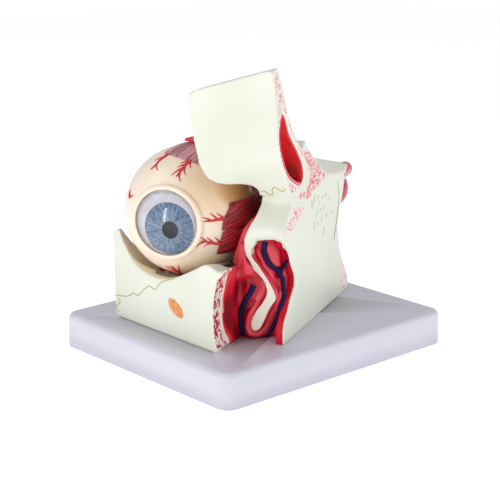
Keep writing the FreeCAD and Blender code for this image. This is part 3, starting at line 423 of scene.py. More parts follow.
# %% Helpers for turned shapes
def skin_faces(rows, count, closed=False):
    """Faces between rows of points, each row a ring; closed joins the last row to the first."""
    faces = []
    for row in range(rows if closed else rows - 1):
        here, there = row * count, (row + 1) % rows * count
        for spot in range(count):
            after = (spot + 1) % count
            faces.append((here + spot, here + after, there + after, there + spot))
    return faces


def turned(profile, steps, part=1.0):
    """Points and faces of a closed profile (radius, height) turned about Z, or part of a turn."""
    rows = steps if part == 1.0 else steps + 1
    points = []
    for row in range(rows):
        angle = 2 * math.pi * part * row / steps
        points += [(r * math.cos(angle), r * math.sin(angle), h) for r, h in profile]
    count = len(profile)
    faces = skin_faces(rows, count, closed=part == 1.0)
    if part != 1.0:
        faces.append(tuple(reversed(range(count))))
        faces.append(tuple(steps * count + spot for spot in range(count)))
    return points, faces


# %% Helper for Geometry Nodes
class Nodes:
    """A Geometry Nodes tree, built one node at a time."""

    def __init__(self, name, **inputs):
        self.tree = bpy.data.node_groups.new(name, "GeometryNodeTree")
        face = self.tree.interface
        face.new_socket("Geometry", in_out="INPUT", socket_type="NodeSocketGeometry")
        for key, kind in inputs.items():
            face.new_socket(key, in_out="INPUT", socket_type="NodeSocket" + kind)
        face.new_socket("Geometry", in_out="OUTPUT", socket_type="NodeSocketGeometry")
        self.start = self.tree.nodes.new("NodeGroupInput")
        self.end = self.tree.nodes.new("NodeGroupOutput")

    def node(self, kind, inputs=None, **settings):
        """A node with its settings, and its inputs set or linked."""
        made = self.tree.nodes.new(kind)
        for key, value in settings.items():
            setattr(made, key, value)
        for key, value in (inputs or {}).items():
            if isinstance(value, bpy.types.NodeSocket):
                self.tree.links.new(value, made.inputs[key])
            else:
                made.inputs[key].default_value = value
        return made

    def finish(self, geometry):
        """Make copies real, set the material and hand the result on."""
        real = self.node("GeometryNodeRealizeInstances", {"Geometry": geometry})
        painted = self.node("GeometryNodeSetMaterial", {
            "Geometry": real.outputs["Geometry"], "Material": self.start.outputs["Material"]})
        self.tree.links.new(painted.outputs["Geometry"], self.end.inputs["Geometry"])
        return self.tree


def grown(thing, tree, name, **inputs):
    """What a tree makes of an object, as a plain mesh object."""
    modifier = thing.modifiers.new("Nodes", "NODES")
    modifier.node_group = tree
    for item in tree.interface.items_tree:
        if item.in_out == "INPUT" and item.name in inputs:
            modifier[item.identifier] = inputs[item.name]
    return baked(thing, name)


# %% Tree that sets copies on points
copies = Nodes("Copies", Part="Object", Material="Material")
source = copies.node("GeometryNodeObjectInfo", {"Object": copies.start.outputs["Part"]})
spread = copies.node("GeometryNodeInstanceOnPoints", {
    "Points": copies.start.outputs["Geometry"], "Instance": source.outputs["Geometry"]})
COPIES = copies.finish(spread.outputs["Instances"])
PART_STEPS = 32


def set_out(name, profile, spots, frame_matrix, finish, shape=None):
    """Copies of one turned part, standing on spots of a frame."""
    part = mesh_object(name + "_part", *turned(profile, PART_STEPS), BASE)
    close_up(part, 30.0)
    if shape:
        shape(part)
    points = mesh_object(name + "_points", spots, [], frame_matrix)
    made = grown(points, COPIES, name, Part=part, Material=finish)
    bpy.data.objects.remove(part)
    return made


# %% [markdown]
# ## Feet and screws
# The feet are plain rubber studs with a rounded edge, pushed on the base's posts from below.
# The screws come up through the base into the bones; only their heads show, from below. Their
# cross is cut with a boolean, which leaves a closed mesh, and the thread is a row of ridges.

# %% Feet
foot_finish = Finish("foot_rubber", 0.75)
foot_finish.colour(foot_finish.mix(foot_finish.noise(300.0), tint(38, 38, 40), tint(54, 54, 56)))
FOOT = [(0.0, 4.0), (0.0, 0.0), (4.6, 0.0), (5.5, 0.3), (5.9, 0.9), (6.0, 1.6), (6.0, 4.0)]
FOOT_SPOTS = [(x, y, 0.0) for x in (-55.5, 55.5) for y in (-67.0, 67.0)]
feet = set_out("feet", FOOT, FOOT_SPOTS, BASE, foot_finish.material)
dress(feet, foot_finish.material, "feet", "stand", "base_feet")
print("feet:", len(FOOT_SPOTS))

# %% Steel
steel_finish = Finish("zinc_steel", 0.32, Metallic=1.0)
steel_finish.colour(steel_finish.mix(steel_finish.noise(900.0), tint(168, 170, 174),
                                     tint(196, 198, 200)))
steel_finish.rough(steel_finish.curve(steel_finish.noise(500.0), 0.3, 0.7, 0.24, 0.4))

# %% Cutting a cross in a head
CROSS_DEPTH = 1.3


def carve(thing, tool):
    """Take a tool away from a thing, in place."""
    cut = thing.modifiers.new("Cut", "BOOLEAN")
    cut.object = tool
    cut.solver = "EXACT"
    graph = bpy.context.evaluated_depsgraph_get()
    mesh = bpy.data.meshes.new_from_object(thing.evaluated_get(graph), depsgraph=graph)
    thing.modifiers.remove(cut)
    thing.data = mesh
    bpy.data.objects.remove(tool)


def cross(part):
    """Sink a driver's cross in a screw's head."""
    for number, (width, length) in enumerate(((1.1, 4.4), (4.4, 1.1))):
        points = [(x * width / 2, y * length / 2, z) for x in (-1, 1) for y in (-1, 1)
                  for z in (-1.0, CROSS_DEPTH)]
        faces = [(0, 1, 3, 2), (4, 6, 7, 5), (0, 4, 5, 1), (2, 3, 7, 6), (0, 2, 6, 4), (1, 5, 7, 3)]
        carve(part, close_up(mesh_object("cross_%d" % number, points, faces, BASE)))


# %% Screws
SCREW_LENGTH = 22.6
RIDGE = 0.6
HEAD = [(0.0, SCREW_LENGTH), (0.0, 0.0), (2.6, 0.0), (3.5, 0.5), (4.0, 1.3), (4.0, 2.6)]
THREAD = [(2.0 if step % 2 else 1.6, 3.2 + RIDGE * step) for step in range(31)]
TIP = [(1.6, SCREW_LENGTH - RIDGE)]
SCREW_SPOTS = [(-82.0, -34.0, -11.6), (-44.0, -48.0, -11.6), (-14.0, 4.0, -11.6),
               (-13.0, 44.0, -11.6)]
screws = set_out("screws", HEAD + THREAD + TIP, SCREW_SPOTS, BONE, steel_finish.material, cross)
dress(screws, steel_finish.material, "screw", "stand", "mounting_screws")
print("screws:", len(SCREW_SPOTS))

# %% [markdown]
# ## Where paint goes
# A painted area is an outline, and how deep a point lies inside it decides how much paint it
# takes. The distance falls off evenly, so an area can fade at its border or keep a clean rim.

# %% Helpers for areas and lines
def distance_to(spots, start, end):
    """How far points are from a straight line between two ends."""
    along = end - start
    away = spots - start
    share = np.clip(away @ along / (along @ along), 0.0, 1.0)
    return np.hypot(*(away - share[:, None] * along).T)


def depth_in(spots, outline):
    """How deep points lie inside a closed outline; less than 0 outside it."""
    ends = np.array(outline, float)
    nearest = np.full(len(spots), np.inf)
    inside = np.zeros(len(spots), bool)
    for start, end in zip(np.roll(ends, 1, axis=0), ends):
        nearest = np.minimum(nearest, distance_to(spots, start, end))
        (ax, ay), (bx, by) = start, end
        if ay != by:
            crosses = (ay > spots[:, 1]) != (by > spots[:, 1])
            inside ^= crosses & (spots[:, 0] < ax + (spots[:, 1] - ay) * (bx - ax) / (by - ay))
    return np.where(inside, nearest, -nearest)


def near_line(spots, line):
    """How far points are from a line."""
    ends = np.array(line, float)
    return np.min([distance_to(spots, start, end) for start, end in zip(ends, ends[1:])], axis=0)


# %% [markdown]
# ## Forehead and inner wall
# These two bones are cut along the middle plane of the head. That cut is a flat face with the
# marrow painted on it; the crest behind the forehead and the root of the nose are the richest.
# They are one continuous surface on the real model, so they are cast as one piece here.

# %% Marrow on the cut face (distance back, height)
BROW_CUT = [(-71.0, 149.0), (-66.5, 137.0), (-63.8, 125.0), (-62.0, 112.0), (-56.5, 99.0),
            (-48.5, 88.0), (-42.0, 79.0), (-17.5, 79.0), (-22.8, 101.0), (-35.0, 111.0),
            (-45.0, 122.0), (-54.0, 138.0), (-63.0, 150.5)]
HOLLOW = [(-56.0, 125.0), (-58.9, 119.5), (-59.4, 112.0), (-56.3, 104.0), (-50.8, 96.2),
          (-41.7, 88.6), (-32.0, 84.0), (-25.2, 82.6), (-21.8, 85.6), (-22.6, 91.0),
          (-29.0, 99.2), (-36.0, 105.6), (-43.0, 111.6), (-48.5, 118.6), (-53.0, 124.4)]
CREST = [(-17, 102.4), (-8.3, 96.2), (0.2, 89.9), (9.3, 84.2), (16.6, 80.1), (20.4, 77.9),
         (12.9, 76.5), (4.1, 75.1), (-4.7, 74), (-7.7, 79.1), (-6.5, 83.1), (-10.6, 90.3),
         (-14, 95.9)]
ROOT = [(-11.5, 98.6), (-7.7, 93.6), (-5.3, 88.2), (-3.4, 82.8), (-2.1, 78.3), (-4.8, 74.5),
        (-10.5, 71.2), (-20.1, 72.2), (-28.5, 74.4), (-31.6, 77.6), (-25.5, 78.7), (-17.1, 77.9),
        (-13, 79.9), (-11.6, 84.5), (-15.4, 90.9), (-20.8, 96.2), (-26.1, 99.3), (-27.2, 101.5)]
BRIDGE = [(-34.6, 72.7), (-26.3, 71.5), (-20, 70.1), (-21, 66.8), (-25.1, 64.9), (-30.2, 62.6),
          (-36.3, 60.5), (-41.3, 59.7), (-44.3, 56.9), (-48.3, 59.3), (-52.2, 62.4),
          (-48.4, 64.9), (-44.5, 66.7), (-40.5, 68.5), (-38.6, 71.5)]
BACK = [(43.4, 28.1), (46.9, 22.5), (54.6, 17.3), (61.3, 10.7), (63.4, 5.3), (62.7, 0.7),
        (51.8, 0.2), (48.6, 3.9), (48.3, 10.3), (48.5, 15.8), (45.1, 22.2)]
FLOOR_EDGE = [(13.4, 79.7), (21.4, 77.3), (30.8, 76.1), (47.7, 74.0)]

# %% [markdown]
# The top of the nose opening isn't straight but arched. The CAD solids end level there, so
# both the bone above and the lining below are lifted by the same line (across, rise).

# %% Arch over the nose opening
OPENING_TOP = 54.0
NOSE_ARCH = [(-24.0, 0.0), (-20.7, -1.0), (-17.4, 1.2), (-11.6, 2.6), (-6.1, 3.2), (-2.8, 2.6),
             (-0.6, 0.6), (1.0, 0.0)]


def arch(thing, low):
    """Lift what lies at the top of the nose opening, from a height low upwards."""
    spots = local(points_of(thing), BONE)
    rise = np.interp(spots[:, 0], *zip(*NOSE_ARCH))
    share = ease(low, OPENING_TOP, spots[:, 2]) * ease(64.0, 55.0, spots[:, 2])
    share = share * ease(-38.0, -44.0, spots[:, 1])
    moved = points_of(thing)
    moved[:, 2] += rise * share * MM
    set_points(thing, moved)


# %% Cast the face bone
FACE_VOXEL = 0.8
face_bone = casting("face_bone", ("forehead_bone", "inner_orbit_wall"), FACE_VOXEL, 4)
arch(face_bone, 53.0)

# %% [markdown]
# The free edge beside the eyeball swings further in below and further out above. WALL_RIM is
# where that edge runs in the CAD (height, across), and SWING is how far it moves at a height.
# Beside the edge the front is smoothed, so that the two bones run into each other.

# %% Swing the free edge and smooth the front
SWING = [(50.0, 2.3), (56.0, 2.3), (62.0, 2.1), (66.8, 1.6), (71.6, -0.3), (76.0, -2.0),
         (80.0, -2.2), (85.0, 0.0)]
SWING_TOP = 86.0
WALL_RIM = [(54.0, -24.6), (58.1, -24.2), (62.8, -22.2), (66.7, -19.9), (70.0, -17.6), (74.0, -15.7),
            (77.4, -14.6), (86.2, -14.2), (93.0, -40.4), (111.0, -44.1), (136.0, -46.0)]
BROW_HEIGHT, BROW_END = 86.2, -13.0
SMOOTH_PASSES = 160
spots = local(points_of(face_bone), BONE)
rim_of_wall = np.interp(spots[:, 2], *zip(*WALL_RIM))
swing = np.interp(spots[:, 2], *zip(*SWING)) * ease(rim_of_wall + 9.0, rim_of_wall + 1.0, spots[:, 0])
spots[:, 0] += swing * ease(-34.0, -40.0, spots[:, 1]) * (spots[:, 2] < SWING_TOP)
set_points(face_bone, place(spots, BONE))
ways = normals_of(face_bone, BONE)
front = ease(0.25, 0.6, -ways[:, 1]) * ease(-1.5, -4.5, spots[:, 0])
front *= ease(0.8, 3.0, spots[:, 0] - rim_of_wall) * ease(57.0, 61.0, spots[:, 2])
# the underside of the brow stays crisp
front *= ease(0.5, 3.0, np.abs(spots[:, 2] - BROW_HEIGHT) + 9 * (spots[:, 0] > BROW_END))
smooth_where(face_bone, front * ease(140.0, 132.0, spots[:, 2]), SMOOTH_PASSES)
print("points smoothed on the front:", int((front > 0.5).sum()))

# %% Paint the marrow on the cut face
spots = local(points_of(face_bone), BONE)
ways = normals_of(face_bone, BONE)
on_cut = ease(-1.6, -0.5, spots[:, 0]) * ease(0.3, 0.7, ways[:, 0])
side = spots[:, 1:]


def area(outline):
    """1 inside an outline on the cut face, and 0 outside it."""
    return ease(-0.3, 1.0, depth_in(side, outline))


brow = ease(0.8, 2.4, depth_in(side, BROW_CUT)) * ease(1.0, 1.9, -depth_in(side, HOLLOW))
strong = np.maximum.reduce([area(CREST), area(ROOT), 0.8 * area(BRIDGE),
                            0.6 * ease(1.3, 0.6, near_line(side, FLOOR_EDGE))])
note(face_bone, "marrow", on_cut * np.maximum.reduce([0.86 * brow, strong, 0.7 * area(BACK)]))
note(face_bone, "rich", on_cut * strong)
rim = ease(2.2, 0.9, np.abs(depth_in(side, HOLLOW)))
note(face_bone, "edge", on_cut * rim)
print("share of points with rich marrow:", round(float((on_cut * strong > 0.5).mean()), 3))

# %% [markdown]
# The mucous membrane reaches on to the front edge of the middle wall, up to a line (height, across). A
# darker line of painted shade runs down it, where the membrane turns the corner.

# %% Paint the membrane on the wall's edge
EDGE_OF_RED = [(0.0, -0.7), (7.8, -0.9), (14.0, -1.0), (20.2, -1.3), (25.3, -1.5), (32.3, -1.1),
               (43.0, -1.0), (49.1, -1.3), (53.0, -2.0)]
WALL_SHADE = [(-2.0, 53.0), (-2.5, 46.0), (-4.5, 40.0)]
limit = np.interp(spots[:, 2], *zip(*EDGE_OF_RED))
top = OPENING_TOP + np.interp(spots[:, 0], *zip(*NOSE_ARCH))
wet = ease(0.3, -0.3, spots[:, 0] - limit) * ease(0.3, -0.3, spots[:, 2] - top)
note(face_bone, "red", wet * ease(-6.5, -5.5, spots[:, 0]))
# painted shade along the line where the membrane turns the corner
note(face_bone, "deep", 0.3 + 0.6 * ease(2.6, 0.6, near_line(spots[:, [0, 2]], WALL_SHADE)))

# %% [markdown]
# Painted shade, dark brown, lies in the deepest part of the socket, under the brow and beside the
# eyeball, and tan is mixed into every bone that faces the eyeball closely. Both ask the same thing of
# a point: how far it is from the middle of the eyeball, and how squarely it faces it.

# %% Tan and painted shade inside the socket
def from_eye(thing):
    """How far an object's points are from the eyeball's middle, and how much they face it."""
    away = local(points_of(thing), EYE)
    reach = np.linalg.norm(away, axis=1)
    return reach, -(normals_of(thing, EYE) * away).sum(axis=1) / reach


def tan_by_eyeball(thing):
    """Tan where a bone faces the eyeball closely, strongest beside it."""
    reach, facing = from_eye(thing)
    note(thing, "tan_by_eyeball", ease(46.0, 37.0, reach) * ease(0.15, 0.8, facing))


# painted shade: dark brown under the brow and beside the eyeball, where the socket lies deepest
socket_painted_shade = ease(0.0, 0.3, from_eye(face_bone)[1])
socket_painted_shade *= ease(60.0, 66.0, spots[:, 2]) * ease(88.0, 84.0, spots[:, 2])
socket_painted_shade *= ease(-41.0, -38.0, spots[:, 1]) * ease(75.0, 60.0, spots[:, 1])
note(face_bone, "dark", socket_painted_shade * ease(-32.0, -28.0, spots[:, 0]))
tan_by_eyeball(face_bone)
dress(face_bone, FACE_BONE, "bone", "stand", "forehead_bone", "inner_orbit_wall")

# %% [markdown]
# ## Cheek and jaw
# The cheek bone and the upper jaw make the floor of the socket. The front was sawn flat, square
# to the base. Towards the nose the jaw is cut again, and there its coarse marrow shows between
# cream borders. That corner is a little hollow, so the casting's points are drawn in along X,
# by an amount that depends on the height, which leaves the flat front flat.

# %% Cast the cheek
CAD_CORNER = -27.0
CORNER_DROP = 5.5
JAW_CORNER = [(2.4, -28.4), (6.5, -29.7), (13.1, -30.5), (18.4, -30.9), (25.3, -30.8),
              (33.1, -29.4), (43.7, -27.1), (48.9, -24.9)]
cheek = casting("cheek", ("cheek_and_orbit_floor",), FACE_VOXEL, 4)
spots = local(points_of(cheek), BONE)
wanted = np.interp(spots[:, 2], *zip(*JAW_CORNER)) - CAD_CORNER
share = ease(-55.0, -62.0, spots[:, 1]) * ease(-44.0, -30.0, spots[:, 0])
moved = points_of(cheek)
moved[:, 0] += wanted * share / math.cos(BONE_TURN) * MM
# the corner's top is rounded down towards the nose
moved[:, 2] -= CORNER_DROP * ease(-38.0, -28.0, spots[:, 0]) * ease(38.0, 49.0, spots[:, 2]) * MM
set_points(cheek, moved)

# %% Marrow of the jaw's cut (distance back, height)
JAW_CUT = [(-72, 46.9), (-65.0, 45.6), (-63.4, 41), (-63.4, 34.9), (-63.8, 30), (-64.4, 24),
           (-65.6, 17.5), (-65.0, 10.9), (-62.4, 3.2), (-61.2, -0.7), (-67.5, -0.8),
           (-77.7, 2.9), (-81, 8.4), (-82.6, 15.7), (-83.3, 22.7), (-82.7, 29.2), (-80.6, 34.6),
           (-78.8, 40.1), (-76.3, 43.4)]
spots = local(points_of(cheek), BONE)
ways = normals_of(cheek, BONE)
faces_nose = ease(0.35, 0.7, ways[:, 0]) * ease(-36.0, -34.0, spots[:, 0])
note(cheek, "marrow", faces_nose * ease(0.2, 0.9, depth_in(spots[:, 1:], JAW_CUT)))
note(cheek, "edge", faces_nose)

# %% [markdown]
# Past a line (height, distance back) the jaw's cut is covered by the nose's membrane, which is lighter
# along its border, a painted highlight, and darker in the fold behind it, painted shade. The corner's
# top carries dark brown painted shade.

# %% Membrane on the jaw's cut
JAW_RED = [(-1.0, -58.4), (5.0, -60.1), (11.5, -62.5), (18.0, -63.0), (24.0, -61.9), (32.0, -61.3),
           (39.5, -61.0), (44.0, -60.5), (48.0, -60.5)]
JAW_SHADE = [(-50.0, 30.0), (-55.6, 23.8), (-58.6, 18.1), (-57.0, 10.8), (-51.4, 2.7)]
past = spots[:, 1] - np.interp(spots[:, 2], *zip(*JAW_RED))
shade = near_line(spots[:, 1:], JAW_SHADE)
upwards = ease(0.5, 0.8, ways[:, 2])
note(cheek, "red", ease(-0.4, 0.4, past) * ease(-31.6, -30.2, spots[:, 0]) * (1.0 - upwards))
# painted shade: dark brown on the corner's top, below the eyeball
note(cheek, "dark", upwards * ease(-61.0, -57.0, spots[:, 1]) * ease(-37.0, -31.0, spots[:, 0]))
# painted highlight along the membrane's border, painted shade in the fold behind it
note(cheek, "deep", np.clip(0.38 + 0.62 * ease(6.0, 1.0, shade) - 0.6 * ease(3.2, 1.2, past)
                            - 0.3 * ease(30.0, 38.0, spots[:, 2]), 0.0, 1.0))
tan_by_eyeball(cheek)
dress(cheek, JAW_BONE, "bone", "stand", "cheek_and_orbit_floor")

# %% [markdown]
# ## Painted hollows
# The lining of the forehead hollow, the round hollow at the back of the skull's floor and the
# artery's stump beside it are painted in glossy reds. The back of the lining is bone coloured.

# %% Red paint
def red_paint(name, light, deep):
    """Glossy paint; its note deep says where the dark colour lies, and pale where bone shows."""
    made = Finish(name, 0.2, Coat_Weight=0.6, Coat_Roughness=0.08)
    wander = made.math("MULTIPLY_ADD", made.noise(180.0, 3.0), 0.5, -0.25)
    share = made.math("ADD", made.read("deep"), wander)
    colour = made.mix(made.curve(share, 0.1, 0.9), light, deep)
    made.colour(made.mix(made.read("pale"), colour, IVORY_EDGE))
    made.bump(made.noise(420.0, 3.0), 0.25, 0.35)
    return made.material


HOLLOW_RED = red_paint("hollow_red", tint(230, 34, 48), tint(178, 6, 18))
CORAL = red_paint("coral_red", tint(216, 62, 78), tint(186, 34, 54))
print("paints:", HOLLOW_RED.name, "and", CORAL.name)

# %% Lining of the forehead hollow
lining = casting("hollow_lining", ("frontal_sinus_lining",), 0.4, 3)
spots = local(points_of(lining), BONE)
# painted shade: the red darkens low down and deep in the hollow
note(lining, "deep", ease(97.0, 88.0, spots[:, 2]) * ease(-1.0, -4.0, spots[:, 0]))
# its outside is hidden in the bone, and bone coloured where it comes near the bone's back
OUTSIDE = (-0.35, 0.8, 0.5)
note(lining, "pale", ease(0.2, 0.5, normals_of(lining, BONE) @ OUTSIDE))
dress(lining, HOLLOW_RED, "mucosa_red", "stand", "frontal_sinus_lining")

# %% Hollow and artery behind the skull floor
for name, node, slot in (("sphenoid", "sphenoid_sinus", "mucosa_red"),
                         ("artery", "carotid_stump", "artery_red")):
    made = casting(name, (node,), 0.5, 6)
    note(made, "deep", ease(76.0, 66.0, local(points_of(made), BONE)[:, 2]))
    dress(made, CORAL, slot, "stand", node)

# %% [markdown]
# ## Inside the nose
# The nose opening is lined with folded mucous membrane: deep crimson in the folds and coral on their
# ridges. They follow lines that run down the opening. A point near a ridge's line is pushed to the
# front and one near a fold's line to the back, by a smooth number that is 1 on the line and falls off
# beside it. The same two numbers colour the point: the membrane's reds, with painted shade darkening
# the folds and painted highlight lightening the ridges.

# %% Ridges and folds of the lining: width, then line (across, height)
RIDGES = [(2.4, [(-24.7, 54.0), (-24.9, 48.5), (-26.6, 42.8), (-29.0, 39.4)]),
          (3.6, [(-21.7, 45.8), (-20.8, 41.5), (-21.3, 38.3), (-25.9, 34.8)]),
          (1.5, [(-17.2, 49.8), (-15.7, 44.4), (-12.9, 39.1), (-9.5, 34.2), (-6.8, 29.2),
                 (-6.0, 25.7)]),
          (1.7, [(-12.0, 33.1), (-13.5, 26.9), (-16.6, 21.4), (-19.2, 16.3), (-21.6, 11.6),
                 (-22.0, 6.7), (-19.7, 3.4), (-17.1, 1.9), (-14.5, 3.3), (-12.6, 7.2),
                 (-10.5, 13.3), (-7.9, 18.3), (-6.5, 22.3)]),
          (2.8, [(-10.6, 51.1), (-8.4, 47.6), (-7.4, 42.7)]),
          (1.8, [(-4.8, 37.5), (-4.6, 31.3), (-4.8, 24.0), (-4.8, 15.4), (-4.8, 9.4), (-5.4, 2.0)])]
FOLDS = [(1.8, [(-19.0, 52.0), (-17.7, 45.8), (-16.0, 42.4)]),
         (3.2, [(-21.3, 33.6), (-26.7, 28.6), (-30.0, 23.8), (-30.0, 10.8), (-27.0, 2.7)]),
         (2.2, [(-19.7, 20.5), (-23.1, 15.4), (-24.6, 10.4), (-25.3, 4.1)]),
         (1.5, [(-4.6, 52.0), (-4.8, 45.9), (-5.3, 39.8)]),
         (1.7, [(-6.8, 38.6), (-8.2, 33.3), (-7.0, 27.7)]),
         (2.0, [(-27.0, 2.1), (-18.7, -0.4), (-8.0, 0.5)])]


def strongest(spots, lines):
    """How near points are to the nearest of some lines, each with its own width, from 0 to 1."""
    return np.max([np.exp(-(near_line(spots, line) / width) ** 2) for width, line in lines], axis=0)


# %% Lining with folds
nose = casting("nose_lining", ("nasal_lining",), 0.5, 3)
arch(nose, 44.0)
smooth_where(nose, np.ones(len(nose.data.vertices)), 25)
spots = local(points_of(nose), BONE)
ways = normals_of(nose, BONE)
ridge, fold = strongest(spots[:, [0, 2]], RIDGES), strongest(spots[:, [0, 2]], FOLDS)
front = ease(0.1, 0.5, -ways[:, 1])
spots[:, 1] -= front * (1.3 * ridge - 1.7 * fold)
# beside the cheek the lining turns forward and goes on into it, so no gap is left
below = ease(43.0, 37.0, spots[:, 2])
spots[:, 0] -= 3.5 * below * ease(-23.0, -26.0, spots[:, 0])
spots[:, 1] -= 1.5 * below * ease(-25.0, -28.5, spots[:, 0])
set_points(nose, place(spots, BONE))
# painted shade in the folds and painted highlight on the ridges
note(nose, "deep", np.clip(0.4 + 0.6 * fold - 0.6 * ridge, 0.0, 1.0))
membrane = Finish("nose_membrane", 0.36, Coat_Weight=0.15, Coat_Roughness=0.2,
                  Specular_IOR_Level=0.35)
membrane.colour(mucosa_colour(membrane))
membrane.bump(membrane.noise(380.0, 3.0), 0.12, 0.3)
NOSE_RED = membrane.material
dress(nose, NOSE_RED, "mucosa_red", "stand", "nasal_lining")

# %% [markdown]
# Two more pieces stand in front of the folds. The cut concha is a strip of bone shaped like the
# letter J, which hangs from the lower corner of the nose's bone and leans out to meet it. Beside
# that corner a narrow tongue of the lining rises along the rim of the socket.

# %% Slabs with softened edges
def slab(name, outline, front, back, voxel, passes):
    """A plate with an outline (across, height) between two distances back, edges softened."""
    points = [(x, s, z) for s in (front, back) for x, z in outline]
    count = len(outline)
    faces = [tuple(range(count)), tuple(range(2 * count - 1, count - 1, -1))]
    faces += [(k, k + count, (k + 1) % count + count, (k + 1) % count) for k in range(count)]
    return softened(close_up(mesh_object(name + "_rough", points, faces, BONE)), name, voxel, passes)


# %% The cut concha
CONCHA = [(-24.4, 57.6), (-24.4, 52.5), (-24.2, 50.4), (-23.4, 47.4), (-21.3, 44.2), (-20.0, 41.7),
          (-18.9, 39.1), (-16.8, 37.3), (-14.1, 34.9), (-12.0, 31.8), (-11.2, 28.5),
          (-11.6, 25.1), (-14.0, 20.7), (-16.8, 17.0), (-19.3, 12.6), (-20.6, 9.0), (-20.9, 6.9),
          (-19.9, 5.3), (-18.2, 4.8), (-16.1, 5.4), (-14.7, 7.0), (-13.3, 9.9), (-12.3, 12.1),
          (-10.6, 16.4), (-9.2, 19.2), (-7.8, 21.4), (-6.5, 22.9), (-6.1, 25.0), (-7.2, 28.3),
          (-8.9, 31.4), (-11.3, 35.2), (-14.1, 38.9), (-16.2, 42.1), (-18.9, 45.1), (-20.7, 48.3),
          (-20.7, 51.0), (-19.0, 54.0), (-17.0, 57.6)]
concha = slab("concha", CONCHA, -47.4, -42.0, 0.35, 5)
spots = local(points_of(concha), BONE)
LEAN = (2.2, -4.8, 0.0)
spots += ease(36.0, 54.0, spots[:, 2])[:, None] * LEAN
set_points(concha, place(spots, BONE))
concha_finish = Finish("concha_paint", BONE_ROUGH, Coat_Weight=BONE_COAT, Coat_Roughness=0.3)
bone_part = concha_finish.mix(concha_finish.noise(120.0, 3.0), IVORY, tint(232, 228, 208))
concha_finish.colour(concha_finish.mix(
    concha_finish.curve(concha_finish.read("border"), 0.35, 0.65), bone_part, tint(226, 74, 90)))
concha_finish.bump(concha_finish.noise(600.0), 0.06)
sides = ease(0.75, 0.45, -normals_of(concha, BONE)[:, 1]) * ease(50.0, 46.0, spots[:, 2])
note(concha, "border", sides)
dress(concha, concha_finish.material, "bone", "stand", "nasal_concha")

# %% Tongue of lining beside the rim of the socket
TONGUE = [(-19.2, 67.6), (-21.4, 65.4), (-23.4, 63.0), (-25.2, 60.4), (-26.4, 57.6), (-27.3, 54.7),
          (-28.3, 51.3), (-29.6, 48.0), (-30.6, 44.0), (-31.8, 33.0), (-27.5, 34.0), (-23.0, 37.5),
          (-20.6, 43.5), (-22.2, 46.4), (-23.0, 50.4), (-23.2, 55.7), (-21.4, 61.8), (-18.4, 66.8)]
tongue = slab("lining_tongue", TONGUE, -46.8, -40.6, 0.4, 8)
spots = local(points_of(tongue), BONE)
# painted shade: the tongue darkens towards its edge on the socket's side, beside the muscle
note(tongue, "deep", 0.04 + 0.6 * ease(1.6, 0.0, depth_in(spots[:, [0, 2]], TONGUE))
     * ease(-23.0, -25.0, spots[:, 0] - 0.4 * (spots[:, 2] - 55.0)))
dress(tongue, NOSE_RED, "mucosa_red", "stand")

# %% [markdown]
# ## Cords that follow a surface
# Veins, vessels and the fine lines of the sutures are all cords. Each is a smooth line through a
# few points, with a thickness at every point. A Geometry Nodes tree gives the lines a round
# section and closed ends. Before that, every point is laid on the surface the cord follows, by
# looking for the nearest point of that surface and moving it a little out or in.

# %% Tree that thickens lines
cords = Nodes("Cords", Material="Material")
line = cords.node("GeometryNodeMeshToCurve", {"Mesh": cords.start.outputs["Geometry"]})
thick = cords.node("GeometryNodeInputNamedAttribute", {"Name": "thickness"}, data_type="FLOAT")
sized = cords.node("GeometryNodeSetCurveRadius", {
    "Curve": line.outputs["Curve"], "Radius": thick.outputs["Attribute"]})
ring = cords.node("GeometryNodeCurvePrimitiveCircle", {"Resolution": 10, "Radius": 1.0})
skin = cords.node("GeometryNodeCurveToMesh", {
    "Curve": sized.outputs["Curve"], "Profile Curve": ring.outputs["Curve"], "Fill Caps": True})
# the section is scaled by the same number, which makes its radius that thickness
cords.tree.links.new(thick.outputs["Attribute"], skin.inputs["Scale"])
CORDS = cords.finish(skin.outputs["Mesh"])


# %% Smooth lines laid on a surface
def smooth_line(points, step=0.6):
    """Close-set points along a smooth curve through the given ones."""
    points = [Vector(point) for point in points]
    ends = [2 * points[0] - points[1]] + points + [2 * points[-1] - points[-2]]
    line = [points[0]]
    for before, here, there, after in zip(ends, ends[1:], ends[2:], ends[3:]):
        count = max(int((there - here).length / step), 1)
        for number in range(1, count + 1):
            t = number / count
            line.append(0.5 * (2 * here + (there - before) * t
                               + (2 * before - 5 * here + 4 * there - after) * t * t
                               + (3 * here - before - 3 * there + after) * t ** 3))
    return [tuple(point) for point in line]


def surface_of(*things):
    """Search trees for the nearest point on some objects."""
    trees = []
    for thing in things:
        shape = bmesh.new()
        shape.from_mesh(thing.data)
        trees.append(BVHTree.FromBMesh(shape))
        shape.free()
    return trees


def laid(line, surfaces, lift):
    """A line in millimetres of the model's frame, laid on the nearest surface."""
    out = []
    for point in line:
        spot = Vector(point) * MM
        hits = [tree.find_nearest(spot) for tree in surfaces]
        near, way = min(hits, key=lambda hit: hit[3])[:2]
        out.append(tuple(near / MM + way * lift))
    return out


# %% Cords as one piece
END_SHARE, END_TAPER = 0.94, 0.72


